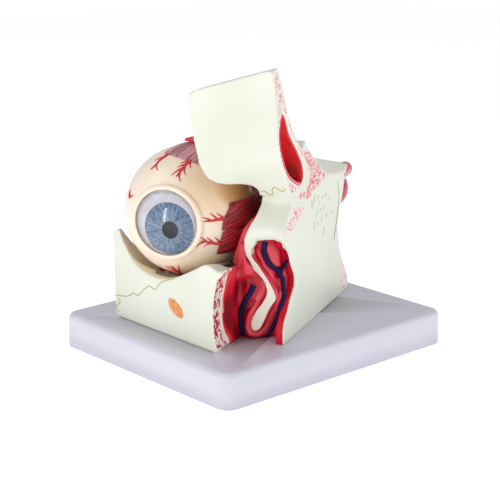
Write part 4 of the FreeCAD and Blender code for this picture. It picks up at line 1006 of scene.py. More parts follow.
def cord_piece(name, lines, frame_matrix, finish, slot, body, surfaces, lift):
    """Cords through lines, each with a thickness at its start and at its end."""
    points, edges, widths = [], [], []
    for line, first, last in lines:
        dense = np.array([tuple(frame_matrix @ Vector(point)) for point in smooth_line(line)])
        dense = np.array(laid(dense, surfaces, lift))
        start = len(points)
        points += dense.tolist()
        edges += [(spot, spot + 1) for spot in range(start, len(points) - 1)]
        share = np.linspace(0.0, 1.0, len(dense))
        taper = np.where(share > END_SHARE, END_TAPER, 1.0)
        widths += ((first + (last - first) * share) * taper * MM).tolist()
    mesh = bpy.data.meshes.new(name + "_lines")
    mesh.from_pydata((np.array(points) * MM).tolist(), edges, [])
    mesh.attributes.new("thickness", "FLOAT", "POINT").data.foreach_set("value", widths)
    lines_object = bpy.data.objects.new(name + "_lines", mesh)
    bpy.context.scene.collection.objects.link(lines_object)
    made = grown(lines_object, CORDS, name, Material=finish)
    close_up(made, 60.0)
    return dress(made, finish, slot, body)


print("cords ready:", CORDS.name)

# %% [markdown]
# ## Veins and sutures
# Dark blue veins run down the nose, and fine golden lines show where two bones meet.

# %% Veins in the nose
def flat_paint(name, one, two, roughness=0.35, coat=0.3, grain=300.0, shine=0.5):
    """Paint that wanders between two near colours."""
    made = Finish(name, roughness, Coat_Weight=coat, Coat_Roughness=0.12, Specular_IOR_Level=shine)
    made.colour(made.mix(made.noise(grain, 3.0), one, two))
    made.bump(made.noise(grain * 3.0, 2.0), 0.05, 0.3)
    return made.material


NAVY = flat_paint("navy_vein", tint(16, 12, 56), tint(26, 22, 76), 0.5, 0.0, shine=0.15)
VEINS = [([(-12.8, -46.0, 54.6), (-13.6, -45.4, 49.8), (-12.4, -44.8, 45.1), (-9.8, -43.4, 41.0),
           (-6.4, -40.4, 36.8), (-5.2, -39.0, 30.0), (-5.0, -39.0, 23.1), (-5.6, -41.8, 17.0),
           (-7.8, -41.6, 10.8), (-10.6, -41.8, 5.0), (-12.4, -42.0, 0.4)], 1.55, 1.3),
         ([(-2.2, -41.0, 43.8), (-4.2, -39.5, 40.6), (-6.2, -40.2, 37.0)], 1.0, 1.1),
         ([(-18.2, -48.0, 30.6), (-20.6, -48.6, 26.0), (-23.2, -48.8, 21.0), (-25.2, -48.8, 15.5),
           (-25.6, -48.8, 9.5), (-24.8, -48.8, 1.2)], 1.7, 1.5)]
cord_piece("nose_veins", VEINS, BONE, NAVY, "artery_red", "stand",
           surface_of(nose, face_bone), 0.35)

# %% Sutures
GOLD = flat_paint("suture_gold", tint(196, 172, 118), tint(178, 150, 98), 0.5, 0.0)
FACE_SUTURE = [(-14.9, 81.5), (-13.5, 82.6), (-12.2, 81.4), (-11.1, 78.9), (-10.1, 77.3),
               (-9.1, 77.4), (-8.4, 79.1), (-8.6, 82.3), (-8.1, 85.0), (-7.1, 86.0),
               (-6.1, 85.1), (-4.7, 83.0), (-3.4, 81.8), (-2.4, 81.6), (-1.1, 83.6)]
CHEEK_SUTURE = [(-45.7, 32.1), (-34.4, 34.1), (-28.8, 37.1), (-24.3, 37), (-18.7, 41.7),
                (-14.2, 44.5), (-8.9, 44), (-3.5, 49.1), (7.8, 53.9)]
ZIGZAG = [(-42.9, 30.9), (-41.1, 29), (-45, 25.7), (-42.3, 22.8)]
face_lines = [([(across, -47.0, up) for across, up in FACE_SUTURE], 0.22, 0.22)]
cord_piece("face_suture", face_lines, BONE, GOLD, "bone", "stand", surface_of(face_bone), 0.1)
cheek_lines = [([(x, -64.5, z) for x, z in line], 0.26, 0.26)
               for line in (CHEEK_SUTURE, ZIGZAG)]
cord_piece("cheek_sutures", cheek_lines, BASE, GOLD, "bone", "stand", surface_of(cheek), 0.0)

# %% [markdown]
# ## Marks on the cut face
# Short brown strokes on the middle wall of the nose stand for the nerves of smell, and one
# longer line marks the way of a nerve to the palate. They are thin cords sunk in the bone, so
# that only their outer side shows, like a brush stroke.

# %% Strokes and the palate's nerve
BROWN = flat_paint("brown_stroke", tint(196, 180, 148), tint(180, 160, 126), 0.5, 0.0)
STROKES = [((-1.9, 71.4), (-6, 64)), ((3.7, 70.5), (2, 67.3)), ((2.2, 61.4), (-0.3, 58.4)),
           ((11.6, 68.4), (10.5, 66.8)), ((17.3, 68.3), (15.1, 66.6)), ((8.5, 62.2), (7.4, 60.2)),
           ((-2, 56.6), (-2.7, 51.6)), ((15.8, 49.4), (12.6, 44.2)), ((19, 56.1), (17.9, 54.1)),
           ((6.1, 66.4), (5.2, 64.4)), ((23.2, 64), (22.6, 62.7)), ((14.1, 62.4), (13.1, 59.6)),
           ((11, 56.5), (9.3, 53.9)), ((-7.2, 69.3), (-8, 65.2)), ((28.3, 56.2), (27.7, 54)),
           ((4.3, 55.1), (3.5, 52.3))]
PALATE_NERVE = [(38.2, 71.3), (40.3, 66.3), (41.6, 61.5), (40.2, 54.9), (38.2, 48.6), (35.3, 43.2),
          (33.6, 38.2), (33.7, 37.0)]
marks = [([(0.0, *one), (0.0, *two)], 0.36, 0.22) for one, two in STROKES]
marks.append(([(0.0, *point) for point in PALATE_NERVE], 0.3, 0.5))
cord_piece("strokes", marks, BONE, BROWN, "bone", "stand", surface_of(face_bone), -0.1)

# %% The cheek's nerve
nerve_finish = Finish("cheek_nerve", 0.28, Coat_Weight=0.4, Coat_Roughness=0.1)
nerve_finish.colour(nerve_finish.ramp(nerve_finish.noise(420.0, 3.0), [
    (0.35, tint(236, 158, 74)), (0.55, tint(226, 128, 44)), (0.7, tint(206, 104, 34))]))
nerve_finish.bump(nerve_finish.noise(500.0), 0.2)
dress(casting("cheek_nerve", ("infraorbital_nerve",), 0.3, 4), nerve_finish.material,
      "nerve_yellow", "stand", "infraorbital_nerve")

# %% [markdown]
# ## The eyeball's two coats
# Both coats are spheres cut along the level seam. A half shell is a half turn of its section
# about the line of sight, closed by flat faces at the seam. This keeps the ball exactly round,
# which a glossy surface shows at once. The white coat also has the raised lip round the window.

# %% Half shells
def arc(radius, first, last, steps, middle=0.0):
    """Points (radius from the line of sight, distance along it) on a circle about middle."""
    angles = np.linspace(math.radians(first), math.radians(last), steps + 1)
    return [(radius * math.sin(a), middle - radius * math.cos(a)) for a in angles]


def half_shell(name, profile, upper):
    """A profile turned half a turn about the line of sight, above or below the seam."""
    points, faces = turned(profile, 144, 0.5)
    points = np.array(points)
    # the turned shape's own axis becomes the line of sight
    points = points[:, [0, 2, 1]] * ((1, 1, 1) if upper else (1, 1, -1))
    return close_up(mesh_object(name, points, faces, EYE), 35.0)


# %% Sizes of the coats and of the lip
MOUTH = 18.0
COAT_INSIDE = 32.0
LIP_MIDDLE, LIP_ROUND = 18.96, 1.6
DARK_OUTSIDE, DARK_INSIDE, DARK_MOUTH = 31.7, 29.7, 15.5
SEAT_DEPTH = 1.28
RIM_BACK = -math.sqrt(EYE_RADIUS ** 2 - MOUTH ** 2)


def opening(radius, mouth):
    """The angle off the line of sight at which a ball reaches an opening of a radius."""
    return math.degrees(math.asin(mouth / radius))


# %% Sections of the coats
LIP = [(MOUTH, RIM_BACK + 0.2), (MOUTH, RIM_BACK - SEAT_DEPTH)]
LIP += [(LIP_MIDDLE - LIP_ROUND * math.cos(a), RIM_BACK - LIP_ROUND * math.sin(a))
        for a in np.radians([53.0, 75.0])]
LIP += [(LIP_MIDDLE + LIP_ROUND * math.cos(a), RIM_BACK - LIP_ROUND * math.sin(a))
        for a in np.radians(np.linspace(100.0, -55.0, 15))]
outer_start = opening(EYE_RADIUS, LIP_MIDDLE + LIP_ROUND * math.cos(math.radians(-52.0))) + 0.5
WHITE = (LIP + arc(EYE_RADIUS, outer_start, 180.0, 110)
         + arc(COAT_INSIDE, 180.0, opening(COAT_INSIDE, MOUTH), 70))
DARK = (arc(DARK_OUTSIDE, opening(DARK_OUTSIDE, DARK_MOUTH), 180.0, 90)
        + arc(DARK_INSIDE, 180.0, opening(DARK_INSIDE, DARK_MOUTH), 80))
print("points in the white coat's section:", len(WHITE))

# %% White coat
SCLERA = Finish("sclera", 0.33, Coat_Weight=0.35, Coat_Roughness=0.14)
cream = SCLERA.mix(SCLERA.noise(30.0, 3.0), tint(249, 232, 212), tint(243, 224, 200))
# painted shade: the cream turns tan and brown where the socket shades the white coat
coat = SCLERA.ramp(SCLERA.read("painted_shade_on_white"), [(0.0, tint(248, 230, 208)), (0.4, tint(238, 206, 168)),
                                         (0.75, tint(222, 160, 98)), (1.0, tint(180, 108, 50))])
coat = SCLERA.mix(SCLERA.curve(SCLERA.read("painted_shade_on_white"), 0.0, 0.15), cream, coat)
SCLERA.colour(SCLERA.mix(SCLERA.read("inside"), coat, tint(206, 176, 150)))
SCLERA.bump(SCLERA.noise(700.0, 2.0), 0.05, 0.25)


# %% Where the white coat is shaded
# directions from the eyeball's middle: to the brow, to the inner wall, back, and down to the nose
TAN_SIDES = [(0.68, -0.46, 0.58), (0.90, -0.06, 0.43), (0.35, 0.94, 0.0), (0.30, -0.30, -0.90)]


def paint_white(thing):
    """Painted tan shade under the brow and round the back, where the socket shades it, and plain
    inside.
    """
    spots = local(points_of(thing), EYE)
    reach = np.linalg.norm(spots, axis=1)
    brow, inner, back, sink = (spots @ np.array(TAN_SIDES).T / reach[:, None]).T
    note(thing, "painted_shade_on_white", np.maximum.reduce([
        0.42 * ease(0.72, 1.0, brow), 0.8 * ease(0.6, 1.03, inner) * ease(2.0, 13.0, spots[:, 2]),
        0.75 * ease(0.0, 0.8, back), 0.15 * ease(0.72, 1.0, sink)]))
    note(thing, "inside", ease(35.0, 33.0, reach))


# %% Halves of the white coat, drilled for the pins
HALVES = (("upper", True), ("lower", False))
PIN_CIRCLE = 34.0
PIN_SPOTS = [(PIN_CIRCLE * math.cos(a), PIN_CIRCLE * math.sin(a))
             for a in np.radians([-140.0, -25.0, 60.0, 140.0])]
PIN_HOLE = [(0.0, -3.3), (1.1, -3.3), (1.1, 3.3), (0.0, 3.3)]
white = {}
for part, upper in HALVES:
    made = half_shell("white_coat_" + part, WHITE, upper)
    for x, y in PIN_SPOTS:
        drill, faces = turned(PIN_HOLE, PART_STEPS)
        drill = np.array(drill) + (x, y, 0.0)
        carve(made, close_up(mesh_object("drill", drill, faces, EYE)))
    close_up(made, 35.0)
    paint_white(made)
    white[part] = dress(made, SCLERA.material, "sclera", "eye_" + part, "sclera_" + part)

# %% Dark coat
CHOROID = Finish("choroid", 0.5)
web = CHOROID.node("TexVoronoi", {"Vector": CHOROID.place(), "Scale": 190.0},
                   feature="DISTANCE_TO_EDGE").outputs["Distance"]
veins = CHOROID.curve(web, 0.02, 0.12)
dark = CHOROID.mix(veins, tint(132, 34, 30), tint(72, 26, 24))
CHOROID.colour(CHOROID.mix(CHOROID.read("inside"), dark, tint(188, 92, 60)))
CHOROID.bump(veins, 0.12, 0.4)
for part, upper in HALVES:
    made = half_shell("dark_coat_" + part, DARK, upper)
    reach = np.linalg.norm(local(points_of(made), EYE), axis=1)
    note(made, "inside", ease(31.0, 30.0, reach))
    dress(made, CHOROID.material, "choroid", "coat_" + part, "choroid_" + part)

# %% Locating pins
PIN = [(0.0, 3.0), (0.0, -3.0), (0.7, -3.0), (1.0, -2.7), (1.0, 2.7), (0.7, 3.0)]
pins = set_out("pins", PIN, [(x, y, 0.0) for x, y in PIN_SPOTS], EYE, steel_finish.material)
dress(pins, steel_finish.material, "steel_pin", "eye_lower", "locating_pins")

# %% [markdown]
# ## Clear parts
# The window, the lens and the jelly inside the eye are clear plastic. They're full turns about
# the line of sight. The light bends only a little in them here, which keeps what lies behind
# them readable, and a low roughness keeps their highlights small and sharp.

# %% Full turns about the line of sight
ROUND_STEPS = 128


def round_piece(name, profile):
    """A profile turned all the way about the line of sight."""
    points, faces = turned(profile, ROUND_STEPS)
    return close_up(mesh_object(name, np.array(points)[:, [0, 2, 1]], faces, EYE), 40.0)


def clear_finish(name, colour, ior, roughness=0.03):
    """Clear plastic; a higher ior bends light more."""
    made = Finish(name, roughness, Transmission_Weight=1.0, IOR=ior)
    made.colour(made.mix(made.noise(8.0, 1.0), colour, tint(250, 250, 250)))
    made.rough(made.curve(made.noise(90.0, 2.0), 0.2, 0.8, roughness, roughness * 1.6))
    return made.material


# %% Window
WINDOW_OUTSIDE, WINDOW_INSIDE, WINDOW_EDGE = 26.0, 24.5, 17.7
window_middle = RIM_BACK + math.sqrt(WINDOW_OUTSIDE ** 2 - WINDOW_EDGE ** 2)
inner_edge = math.degrees(math.acos((window_middle - RIM_BACK) / WINDOW_INSIDE))
WINDOW = (arc(WINDOW_OUTSIDE, 0.0, opening(WINDOW_OUTSIDE, WINDOW_EDGE), 40, window_middle)
          + arc(WINDOW_INSIDE, inner_edge, 0.0, 40, window_middle))
window = round_piece("window", WINDOW)
dress(window, clear_finish("window_clear", tint(242, 246, 250), 1.38, 0.015), "cornea_clear",
      "eye_lower", "cornea")

# %% Lens
RING_THICK, LENS_GAP, LENS_THICK = 1.3, 1.2, 11.5
LENS_FRONT, LENS_BACK = 30.0, 18.0
front = RIM_BACK + RING_THICK + LENS_GAP
front_middle, back_middle = front + LENS_FRONT, front + LENS_THICK - LENS_BACK
between = front_middle - back_middle
edge_y = back_middle + (between ** 2 + LENS_BACK ** 2 - LENS_FRONT ** 2) / (2 * between)
edge_r = math.sqrt(LENS_BACK ** 2 - (edge_y - back_middle) ** 2)
back_angle = math.degrees(math.acos((back_middle - edge_y) / LENS_BACK))
LENS = (arc(LENS_FRONT, 0.0, opening(LENS_FRONT, edge_r), 40, front_middle)
        + arc(LENS_BACK, back_angle, 180.0, 40, back_middle))
lens = round_piece("lens", LENS)
dress(lens, clear_finish("lens_clear", tint(244, 240, 226), 1.3), "lens_clear", "clear_ball",
      "lens")

# %% Jelly, with a seat for the lens
JELLY_RADIUS = 29.4
JELLY = (arc(LENS_BACK, 180.0, back_angle, 40, back_middle)
         + arc(JELLY_RADIUS, opening(JELLY_RADIUS, edge_r), 180.0, 90))
jelly = round_piece("jelly", JELLY)
dress(jelly, clear_finish("jelly_clear", tint(236, 240, 242), 1.2), "vitreous_clear",
      "clear_ball", "vitreous_body")

# %% [markdown]
# ## Ring and iris
# A white ring lies behind the window, and the blue iris sits in it, a little low. The iris is
# a fine polar grid. Its front is dished towards the pupil and carries spokes as relief. Each
# point also keeps its place round the pupil, so that dark and light streaks can follow it.

# %% White ring
IRIS_RADIUS, PUPIL_RADIUS, IRIS_SHIFT, IRIS_DROP = 14.0, 4.6, 1.5, 3.0


def washer(name, inner, outer, front_y, back_y):
    """A ring between the iris's circle, which sits low and towards the nose, and an outer one."""
    points = []
    for step in range(ROUND_STEPS):
        angle = 2 * math.pi * step / ROUND_STEPS
        across, up = math.cos(angle), math.sin(angle)
        x, z = inner * across + IRIS_SHIFT, inner * up - IRIS_DROP
        near_rim = min(1.0, (outer - 0.15) / math.hypot(x, z))
        for px, pz, y in ((x * near_rim, z * near_rim, front_y), (outer * across, outer * up, front_y),
                          (outer * across, outer * up, back_y), (x * near_rim, z * near_rim, back_y)):
            points.append((px, y, pz))
    faces = skin_faces(ROUND_STEPS, 4, closed=True)
    return close_up(mesh_object(name, points, faces, EYE), 30.0)


white_ring = washer("white_ring", IRIS_RADIUS, WINDOW_EDGE, RIM_BACK, RIM_BACK + RING_THICK)
# the ring glows faintly: painted light that makes up for the light the window holds back
ring_finish = Finish("ring_white", 0.4, Emission_Color=tint(255, 240, 240), Emission_Strength=0.05)
ring_finish.colour(ring_finish.mix(ring_finish.noise(300.0), tint(255, 248, 250), tint(250, 240, 248)))
dress(white_ring, ring_finish.material, "limbus_white", "eye_lower", "limbus_ring")

# %% Spokes of the iris
TURNS, RINGS, SPOKE_ROWS = 360, 30, 12
rng = np.random.default_rng(7)
spokes = rng.normal(size=(SPOKE_ROWS, TURNS))
for row in range(1, SPOKE_ROWS):
    spokes[row] = 0.8 * spokes[row - 1] + 0.6 * spokes[row]


def spokes_at(share):
    """The relief of the spokes round the pupil, between the pupil's edge and the rim."""
    row, part = divmod(share * (SPOKE_ROWS - 1), 1)
    row = min(int(row), SPOKE_ROWS - 2)
    mixed = spokes[row] * (1 - part) + spokes[row + 1] * part
    return np.clip(mixed * 0.45, -1, 1) * math.sin(math.pi * min(max(share, 0.04), 0.96))


# %% Iris grid
PUPIL_DROP = 1.2
RIM_RADIUS = IRIS_RADIUS - 0.1
angles = np.arange(TURNS) * 2 * math.pi / TURNS


def within_ring(radius, angle, share):
    """A point of the iris, moved to its place and kept inside the window's rim."""
    x = radius * math.cos(angle) + IRIS_SHIFT
    z = radius * math.sin(angle) - PUPIL_DROP * (1 - share) - IRIS_DROP
    inside = min(1.0, (WINDOW_EDGE - 0.1) / math.hypot(x, z))
    return x * inside, z * inside


def iris_row(radius, share, depths):
    """A ring of points, and the place of each round the pupil and out from it."""
    ring = [within_ring(radius, angle, share) for angle in angles]
    return ([(x, y, z) for (x, z), y in zip(ring, depths)],
            [(math.cos(angle), math.sin(angle), share) for angle in angles])


points, around = [], []
for number in range(RINGS + 1):
    share = number / RINGS
    collar = 0.35 * math.exp(-((share - 0.28) / 0.07) ** 2)
    depths = RIM_BACK + 0.75 - 0.45 * share - collar - 0.16 * spokes_at(share)
    made = iris_row(PUPIL_RADIUS + (RIM_RADIUS - PUPIL_RADIUS) * share, share, depths)
    points, around = points + made[0], around + made[1]
for radius, share in ((RIM_RADIUS, 1.0), (PUPIL_RADIUS, 0.0)):
    made = iris_row(radius, share, [RIM_BACK + RING_THICK] * TURNS)
    points, around = points + made[0], around + made[1]
iris = mesh_object("iris", points, skin_faces(RINGS + 3, TURNS, closed=True), EYE)
iris.data.attributes.new("around", "FLOAT_VECTOR", "POINT").data.foreach_set(
    "vector", np.ravel(around))
close_up(iris, 50.0)
print("points in the iris:", len(points))

# %% Iris colours
IRIS = Finish("iris_blue", 0.4, Coat_Weight=0.3, Coat_Roughness=0.1)
polar = IRIS.node("Attribute", attribute_name="around").outputs["Vector"]
streak_place = IRIS.node("Mapping", {"Vector": polar, "Scale": (9.0, 9.0, 1.6)}).outputs["Vector"]
fine_place = IRIS.node("Mapping", {"Vector": polar, "Scale": (34.0, 34.0, 2.2)}).outputs["Vector"]
streak = IRIS.noise(1.0, 3.0, streak_place)
fine = IRIS.noise(1.0, 2.0, fine_place)
share = IRIS.node("SeparateXYZ", {"Vector": polar}).outputs["Z"]
blue = IRIS.ramp(share, [(0.0, tint(66, 86, 108)), (0.1, tint(128, 156, 186)),
                         (0.35, tint(126, 156, 188)), (0.7, tint(116, 148, 184)),
                         (0.95, tint(106, 138, 174)), (1.0, tint(88, 108, 138))])
blue = IRIS.mix(IRIS.curve(streak, 0.5, 0.62, 0.0, 0.45), blue, tint(58, 84, 120))
blue = IRIS.mix(IRIS.curve(fine, 0.52, 0.6, 0.0, 0.7), blue, tint(186, 208, 232))
blue = IRIS.mix(IRIS.curve(fine, 0.48, 0.4, 0.0, 0.75), blue, tint(48, 72, 108))
IRIS.colour(blue)
IRIS.bump(fine, 0.15, 0.4)
dress(iris, IRIS.material, "iris_blue", "eye_lower", "iris")

# %% [markdown]
# ## Muscles
# A straight muscle is a flat band that wraps round the ball and runs back to the apex of the
# socket. Its section bends round the eye on the inside and bulges outside, and its front end
# thins out into the tendon and follows its own slanted line. Two numbers go with each point,
# how far across and how far along the muscle it is, so that fibres and stripes can follow it.

# %% Sizes of the muscles
APEX = Vector((26.0, 79.0, 2.0))
MUSCLE_GAP, NERVE_GAP, SEAM_GAP = 0.15, 0.3, 0.3
NERVE_RADIUS = 5.5
END_HALF_WIDTH = 3.7
TENDON_LENGTH = 15.0
ROWS, COLUMNS = 90, 26


def toward(off, clock):
    """The way off the line of sight by an angle, on a side of the eyeball."""
    off, clock = math.radians(off), math.radians(clock)
    return Vector((math.sin(off) * math.cos(clock), -math.cos(off),
                   math.sin(off) * math.sin(clock)))


def on_muscle(way, axis, across, side, first, radius):
    """Where a direction from the eyeball's middle meets a muscle: across it and along it."""
    turn = math.acos(way.dot(axis))
    return (math.atan2(way.dot(side), way.dot(across)) * radius * math.sin(turn),
            (first - turn) * radius)


# %% Muscle bands
def muscle(name, clock, start, width, lift=0.0, part=0, edge=(), wall=3.0, blunt=0.0):
    """A band from the eyeball to the apex; edge is the line of its front end (off, clock)."""
    radius = EYE_RADIUS + MUSCLE_GAP + lift
    axis = APEX.normalized()
    front = toward(start, clock)
    across = (front - axis * front.dot(axis)).normalized()
    side = axis.cross(across)
    end_bend = NERVE_RADIUS + NERVE_GAP + MUSCLE_GAP + lift
    end = APEX + across * end_bend
    first = math.acos(front.dot(axis))
    last = math.acos(radius / end.length) + math.atan2(end.dot(across), end.dot(axis))
    leave = (axis * math.cos(last) + across * math.sin(last)) * radius
    wrapped, straight = radius * (first - last), (end - leave).length
    total = wrapped + straight
    low, high = sorted((part * SEAM_GAP, part * width / 2)) if part else (-width / 2, width / 2)
    narrow = END_HALF_WIDTH / (width / 2)

    # how far back the front end lies at each place across the muscle
    line = sorted(on_muscle(toward(*spot), axis, across, side, first, radius) for spot in edge)
    points, notes_across, notes_along = [], [], []
    for row in range(ROWS + 1):
        for column in range(2 * COLUMNS):
            # the ring of points goes across the inside and comes back over the outside
            outer = column >= COLUMNS
            t = (2 * COLUMNS - 1 - column if outer else column) / (COLUMNS - 1)
            offset = low + (high - low) * t
            begin = np.interp(offset, *zip(*line)) if line else 0.0
            gone = begin + (total - begin) * row / ROWS
            angle = max(first - gone / radius, last)
            out = axis * math.cos(angle) + across * math.sin(angle)
            past = max(gone - wrapped, 0.0) / straight
            bend = radius + (end_bend - radius) * past
            shrink = 1.0 + (narrow - 1.0) * past
            turn = offset * shrink / bend
            bulge = 1.0 - 0.65 * abs(2 * t - 1) ** 2.6
            thin = 0.32 + 0.68 * float(ease(0.0, TENDON_LENGTH, gone - begin))
            if row == 0:
                thin *= 0.35
            thick = wall * bulge * max(thin, blunt) * (1.0 - 0.15 * past) if outer else 0.0
            heart = out * radius + (end - leave) * past - out * bend
            spot = heart + (out * math.cos(turn) + side * math.sin(turn)) * (bend + thick)
            points.append(tuple(spot))
            notes_across.append(offset * shrink)
            notes_along.append(gone - begin)

    count = 2 * COLUMNS
    faces = skin_faces(ROWS + 1, count)
    for row in (0, ROWS):
        start_spot, end_spot = row * count, (row + 1) * count - 1
        faces += [(start_spot + k, start_spot + k + 1, end_spot - k - 1, end_spot - k)
                  for k in range(COLUMNS - 1)]
    made = mesh_object(name, points, faces, EYE, {"across": notes_across, "along": notes_along})
    return close_up(made, 50.0)


# %% [markdown]
# The fibres are noise stretched along the muscle. The upper muscle is greyer, with dark stripes;
# the others are a deep crimson with fine pink fibres, and the stub above is a brighter red.

# %% Muscle finishes
def muscle_finish(name, base_colour, dark_colour, light_colour, slant, stripes):
    """Fibres along a muscle; slant turns them, and stripes is the strength of dark bands."""
    made = Finish(name, 0.45, Coat_Weight=0.1, Coat_Roughness=0.2, Specular_IOR_Level=0.35)
    across, along = made.read("across"), made.read("along")
    way = made.math("MULTIPLY_ADD", along, slant, across)
    fibres = made.node("CombineXYZ", {"X": made.math("MULTIPLY", way, 1.5),
                                      "Y": made.math("MULTIPLY", along, 0.09)}).outputs[0]
    strand = made.noise(1.0, 3.0, fibres, 0.3)
    wide = made.node("CombineXYZ", {"X": made.math("MULTIPLY", way, 0.36),
                                    "Y": made.math("MULTIPLY", along, 0.05)}).outputs[0]
    bands = made.noise(1.0, 2.0, wide, 0.6)
    colour = made.mix(made.curve(bands, 0.46, 0.6, 0.0, stripes), base_colour, dark_colour)
    colour = made.mix(made.curve(strand, 0.53, 0.68, 0.0, 0.75), colour, light_colour)
    colour = made.mix(made.curve(strand, 0.46, 0.34, 0.0, 0.6), colour, dark_colour)
    made.colour(colour)
    made.bump(strand, 0.35, 0.6)
    return made.material


GREY_MUSCLE = muscle_finish("muscle_grey", tint(208, 140, 148), tint(142, 74, 90),
                            tint(222, 178, 180), 0.05, 0.8)
RED_MUSCLE = muscle_finish("muscle_red", tint(166, 22, 32), tint(104, 6, 14),
                           tint(206, 98, 100), 0.4, 0.7)
BRIGHT_MUSCLE = muscle_finish("muscle_bright", tint(216, 40, 52), tint(190, 24, 36),
                              tint(226, 84, 90), 0.2, 0.5)

# %% The straight muscles
TOP_EDGE = [(70.5, 107.9), (66.5, 99.8), (61.5, 83.7), (61.2, 76.1), (61.4, 66.9)]
NOSE_EDGE_UP = [(51.1, -7.3), (51.9, 1.8), (54.1, 7.7), (59.7, 14.6)]
NOSE_EDGE_DOWN = [(57.1, -7.8), (52.4, -8.8), (51.8, -19.8), (52.9, -33.5)]
BOTTOM_EDGE = [(67.6, -102.0), (68.3, -91.2), (60.7, -74.6)]
BANDS = [("superior_rectus", GREY_MUSCLE, "eye_upper", (88.0, 62.0, 25.0, 0.0, 0, TOP_EDGE, 1.9)),
         ("inferior_rectus", RED_MUSCLE, "eye_lower", (-90.0, 56.0, 25.0, 0.0, 0, BOTTOM_EDGE)),
         ("medial_rectus_upper", RED_MUSCLE, "eye_upper", (-8.0, 53.0, 29.0, 0.4, -1, NOSE_EDGE_UP)),
         ("medial_rectus_lower", RED_MUSCLE, "eye_lower", (-8.0, 53.0, 29.0, 0.4, 1, NOSE_EDGE_DOWN)),
         ("lateral_rectus_upper", RED_MUSCLE, "eye_upper", (187.0, 80.0, 29.0, 0.4, 1, ())),
         ("lateral_rectus_lower", RED_MUSCLE, "eye_lower", (187.0, 80.0, 29.0, 0.4, -1, ())),
         ("levator_stub", BRIGHT_MUSCLE, "eye_upper", (80.0, 84.0, 19.0, 2.3, 0, (), 4.0, 0.8))]
for node, finish, body, shape in BANDS:
    dress(muscle(node + "_band", *shape), finish, "muscle_red", body, node)
print("straight muscles:", len(BANDS))

# %% [markdown]
# ## Round cords: oblique muscles and nerve
# These are solid cords with a round section that changes along the way. Where one lies on the
# eyeball, its points that would be inside the ball are pushed out to its surface.

# %% Thick cords
def thick_cord(name, points, radii, clear_of):
    """A round cord through points, each with its radius, kept outside a ball."""
    dense = np.array(smooth_line(points, 1.2))
    gone = np.concatenate([[0.0], np.cumsum(np.linalg.norm(np.diff(dense, axis=0), axis=1))])
    knots = [gone[np.linalg.norm(dense - point, axis=1).argmin()] for point in points]
    wide = np.interp(gone, knots, radii)
    ways = np.gradient(dense, axis=0)
    ways /= np.linalg.norm(ways, axis=1)[:, None]
    up = np.array((0.0, 0.0, 1.0))
    steps = PART_STEPS
    spots, across, along = [], [], []
    for here, way, radius, reach in zip(dense, ways, wide, gone):
        one = np.cross(way, up)
        one /= np.linalg.norm(one)
        other = np.cross(one, way)
        up = other
        for step in range(steps):
            angle = 2 * math.pi * step / steps
            spots.append(here + radius * (math.cos(angle) * one + math.sin(angle) * other))
            across.append(radius * abs(angle - math.pi))
            along.append(reach)
    spots = np.array(spots)
    distance = np.linalg.norm(spots, axis=1)
    short = distance < clear_of
    spots[short] *= (clear_of / distance[short])[:, None]
    faces = skin_faces(len(dense), steps)
    faces.append(tuple(reversed(range(steps))))
    faces.append(tuple(range((len(dense) - 1) * steps, len(dense) * steps)))
    made = mesh_object(name, spots, faces, EYE, {"across": across, "along": along})
    return close_up(made, 60.0)


# %% Slanted muscles
ON_BALL = EYE_RADIUS + 0.1
upper_oblique = thick_cord("upper_oblique", [
    (33.5, 72.0, 16.0), (34.0, 50.0, 20.0), (34.0, 22.0, 24.5), (34.0, -2.0, 27.5),
    (31.5, -9.0, 29.5), (27.4, -7.5, 30.6), (22.8, -1.5, 29.4)],
    [2.6, 3.2, 3.1, 1.9, 1.5, 1.4, 1.3], ON_BALL)
dress(upper_oblique, RED_MUSCLE, "muscle_red", "eye_upper", "superior_oblique")
lower_oblique = thick_cord("lower_oblique", [
    (-15.5, -3.0, -34.6), (-20.0, 4.0, -32.0), (-24.0, 9.5, -27.9), (-26.8, 13.5, -23.6)],
    [2.2, 2.4, 2.2, 1.5], ON_BALL)
dress(lower_oblique, RED_MUSCLE, "muscle_red", "eye_lower", "inferior_oblique")

# %% Optic nerve
OPTIC = Finish("optic_nerve", 0.4, Coat_Weight=0.25, Coat_Roughness=0.15)
strand = OPTIC.node("CombineXYZ", {"X": OPTIC.math("MULTIPLY", OPTIC.read("across"), 0.9),
                                   "Y": OPTIC.math("MULTIPLY", OPTIC.read("along"), 0.06)})
OPTIC.colour(OPTIC.ramp(OPTIC.noise(1.0, 3.0, strand.outputs[0]), [
    (0.35, tint(236, 220, 172)), (0.55, tint(228, 206, 148)), (0.7, tint(206, 178, 116))]))
OPTIC.bump(OPTIC.noise(1.0, 3.0, strand.outputs[0]), 0.2)
NERVE_SIDE = 9.0
start = Vector((NERVE_SIDE, math.sqrt(EYE_RADIUS ** 2 - NERVE_SIDE ** 2), 0.0))
end = APEX + Vector((2.0, 5.0, 0.0))
nerve = thick_cord("optic_nerve_cord", [
    start * 1.01, start + (end - start) * 0.3 + Vector((-1.0, 0, 0)),
    start + (end - start) * 0.65 + Vector((-0.6, 0, 0)), end],
    [NERVE_RADIUS + 0.4, NERVE_RADIUS, NERVE_RADIUS, NERVE_RADIUS], EYE_RADIUS + 0.35)
dress(nerve, OPTIC.material, "optic_yellow", "eye_lower", "optic_nerve")

# %% [markdown]
# ## Vessels on the white of the eye
# Small arteries leave the front ends of the muscles and branch over the white coat towards the
# window. Each tree is a trunk and a few branches, all cords that taper. The ones beside the
# seam are divided there, because the coat's halves come apart.

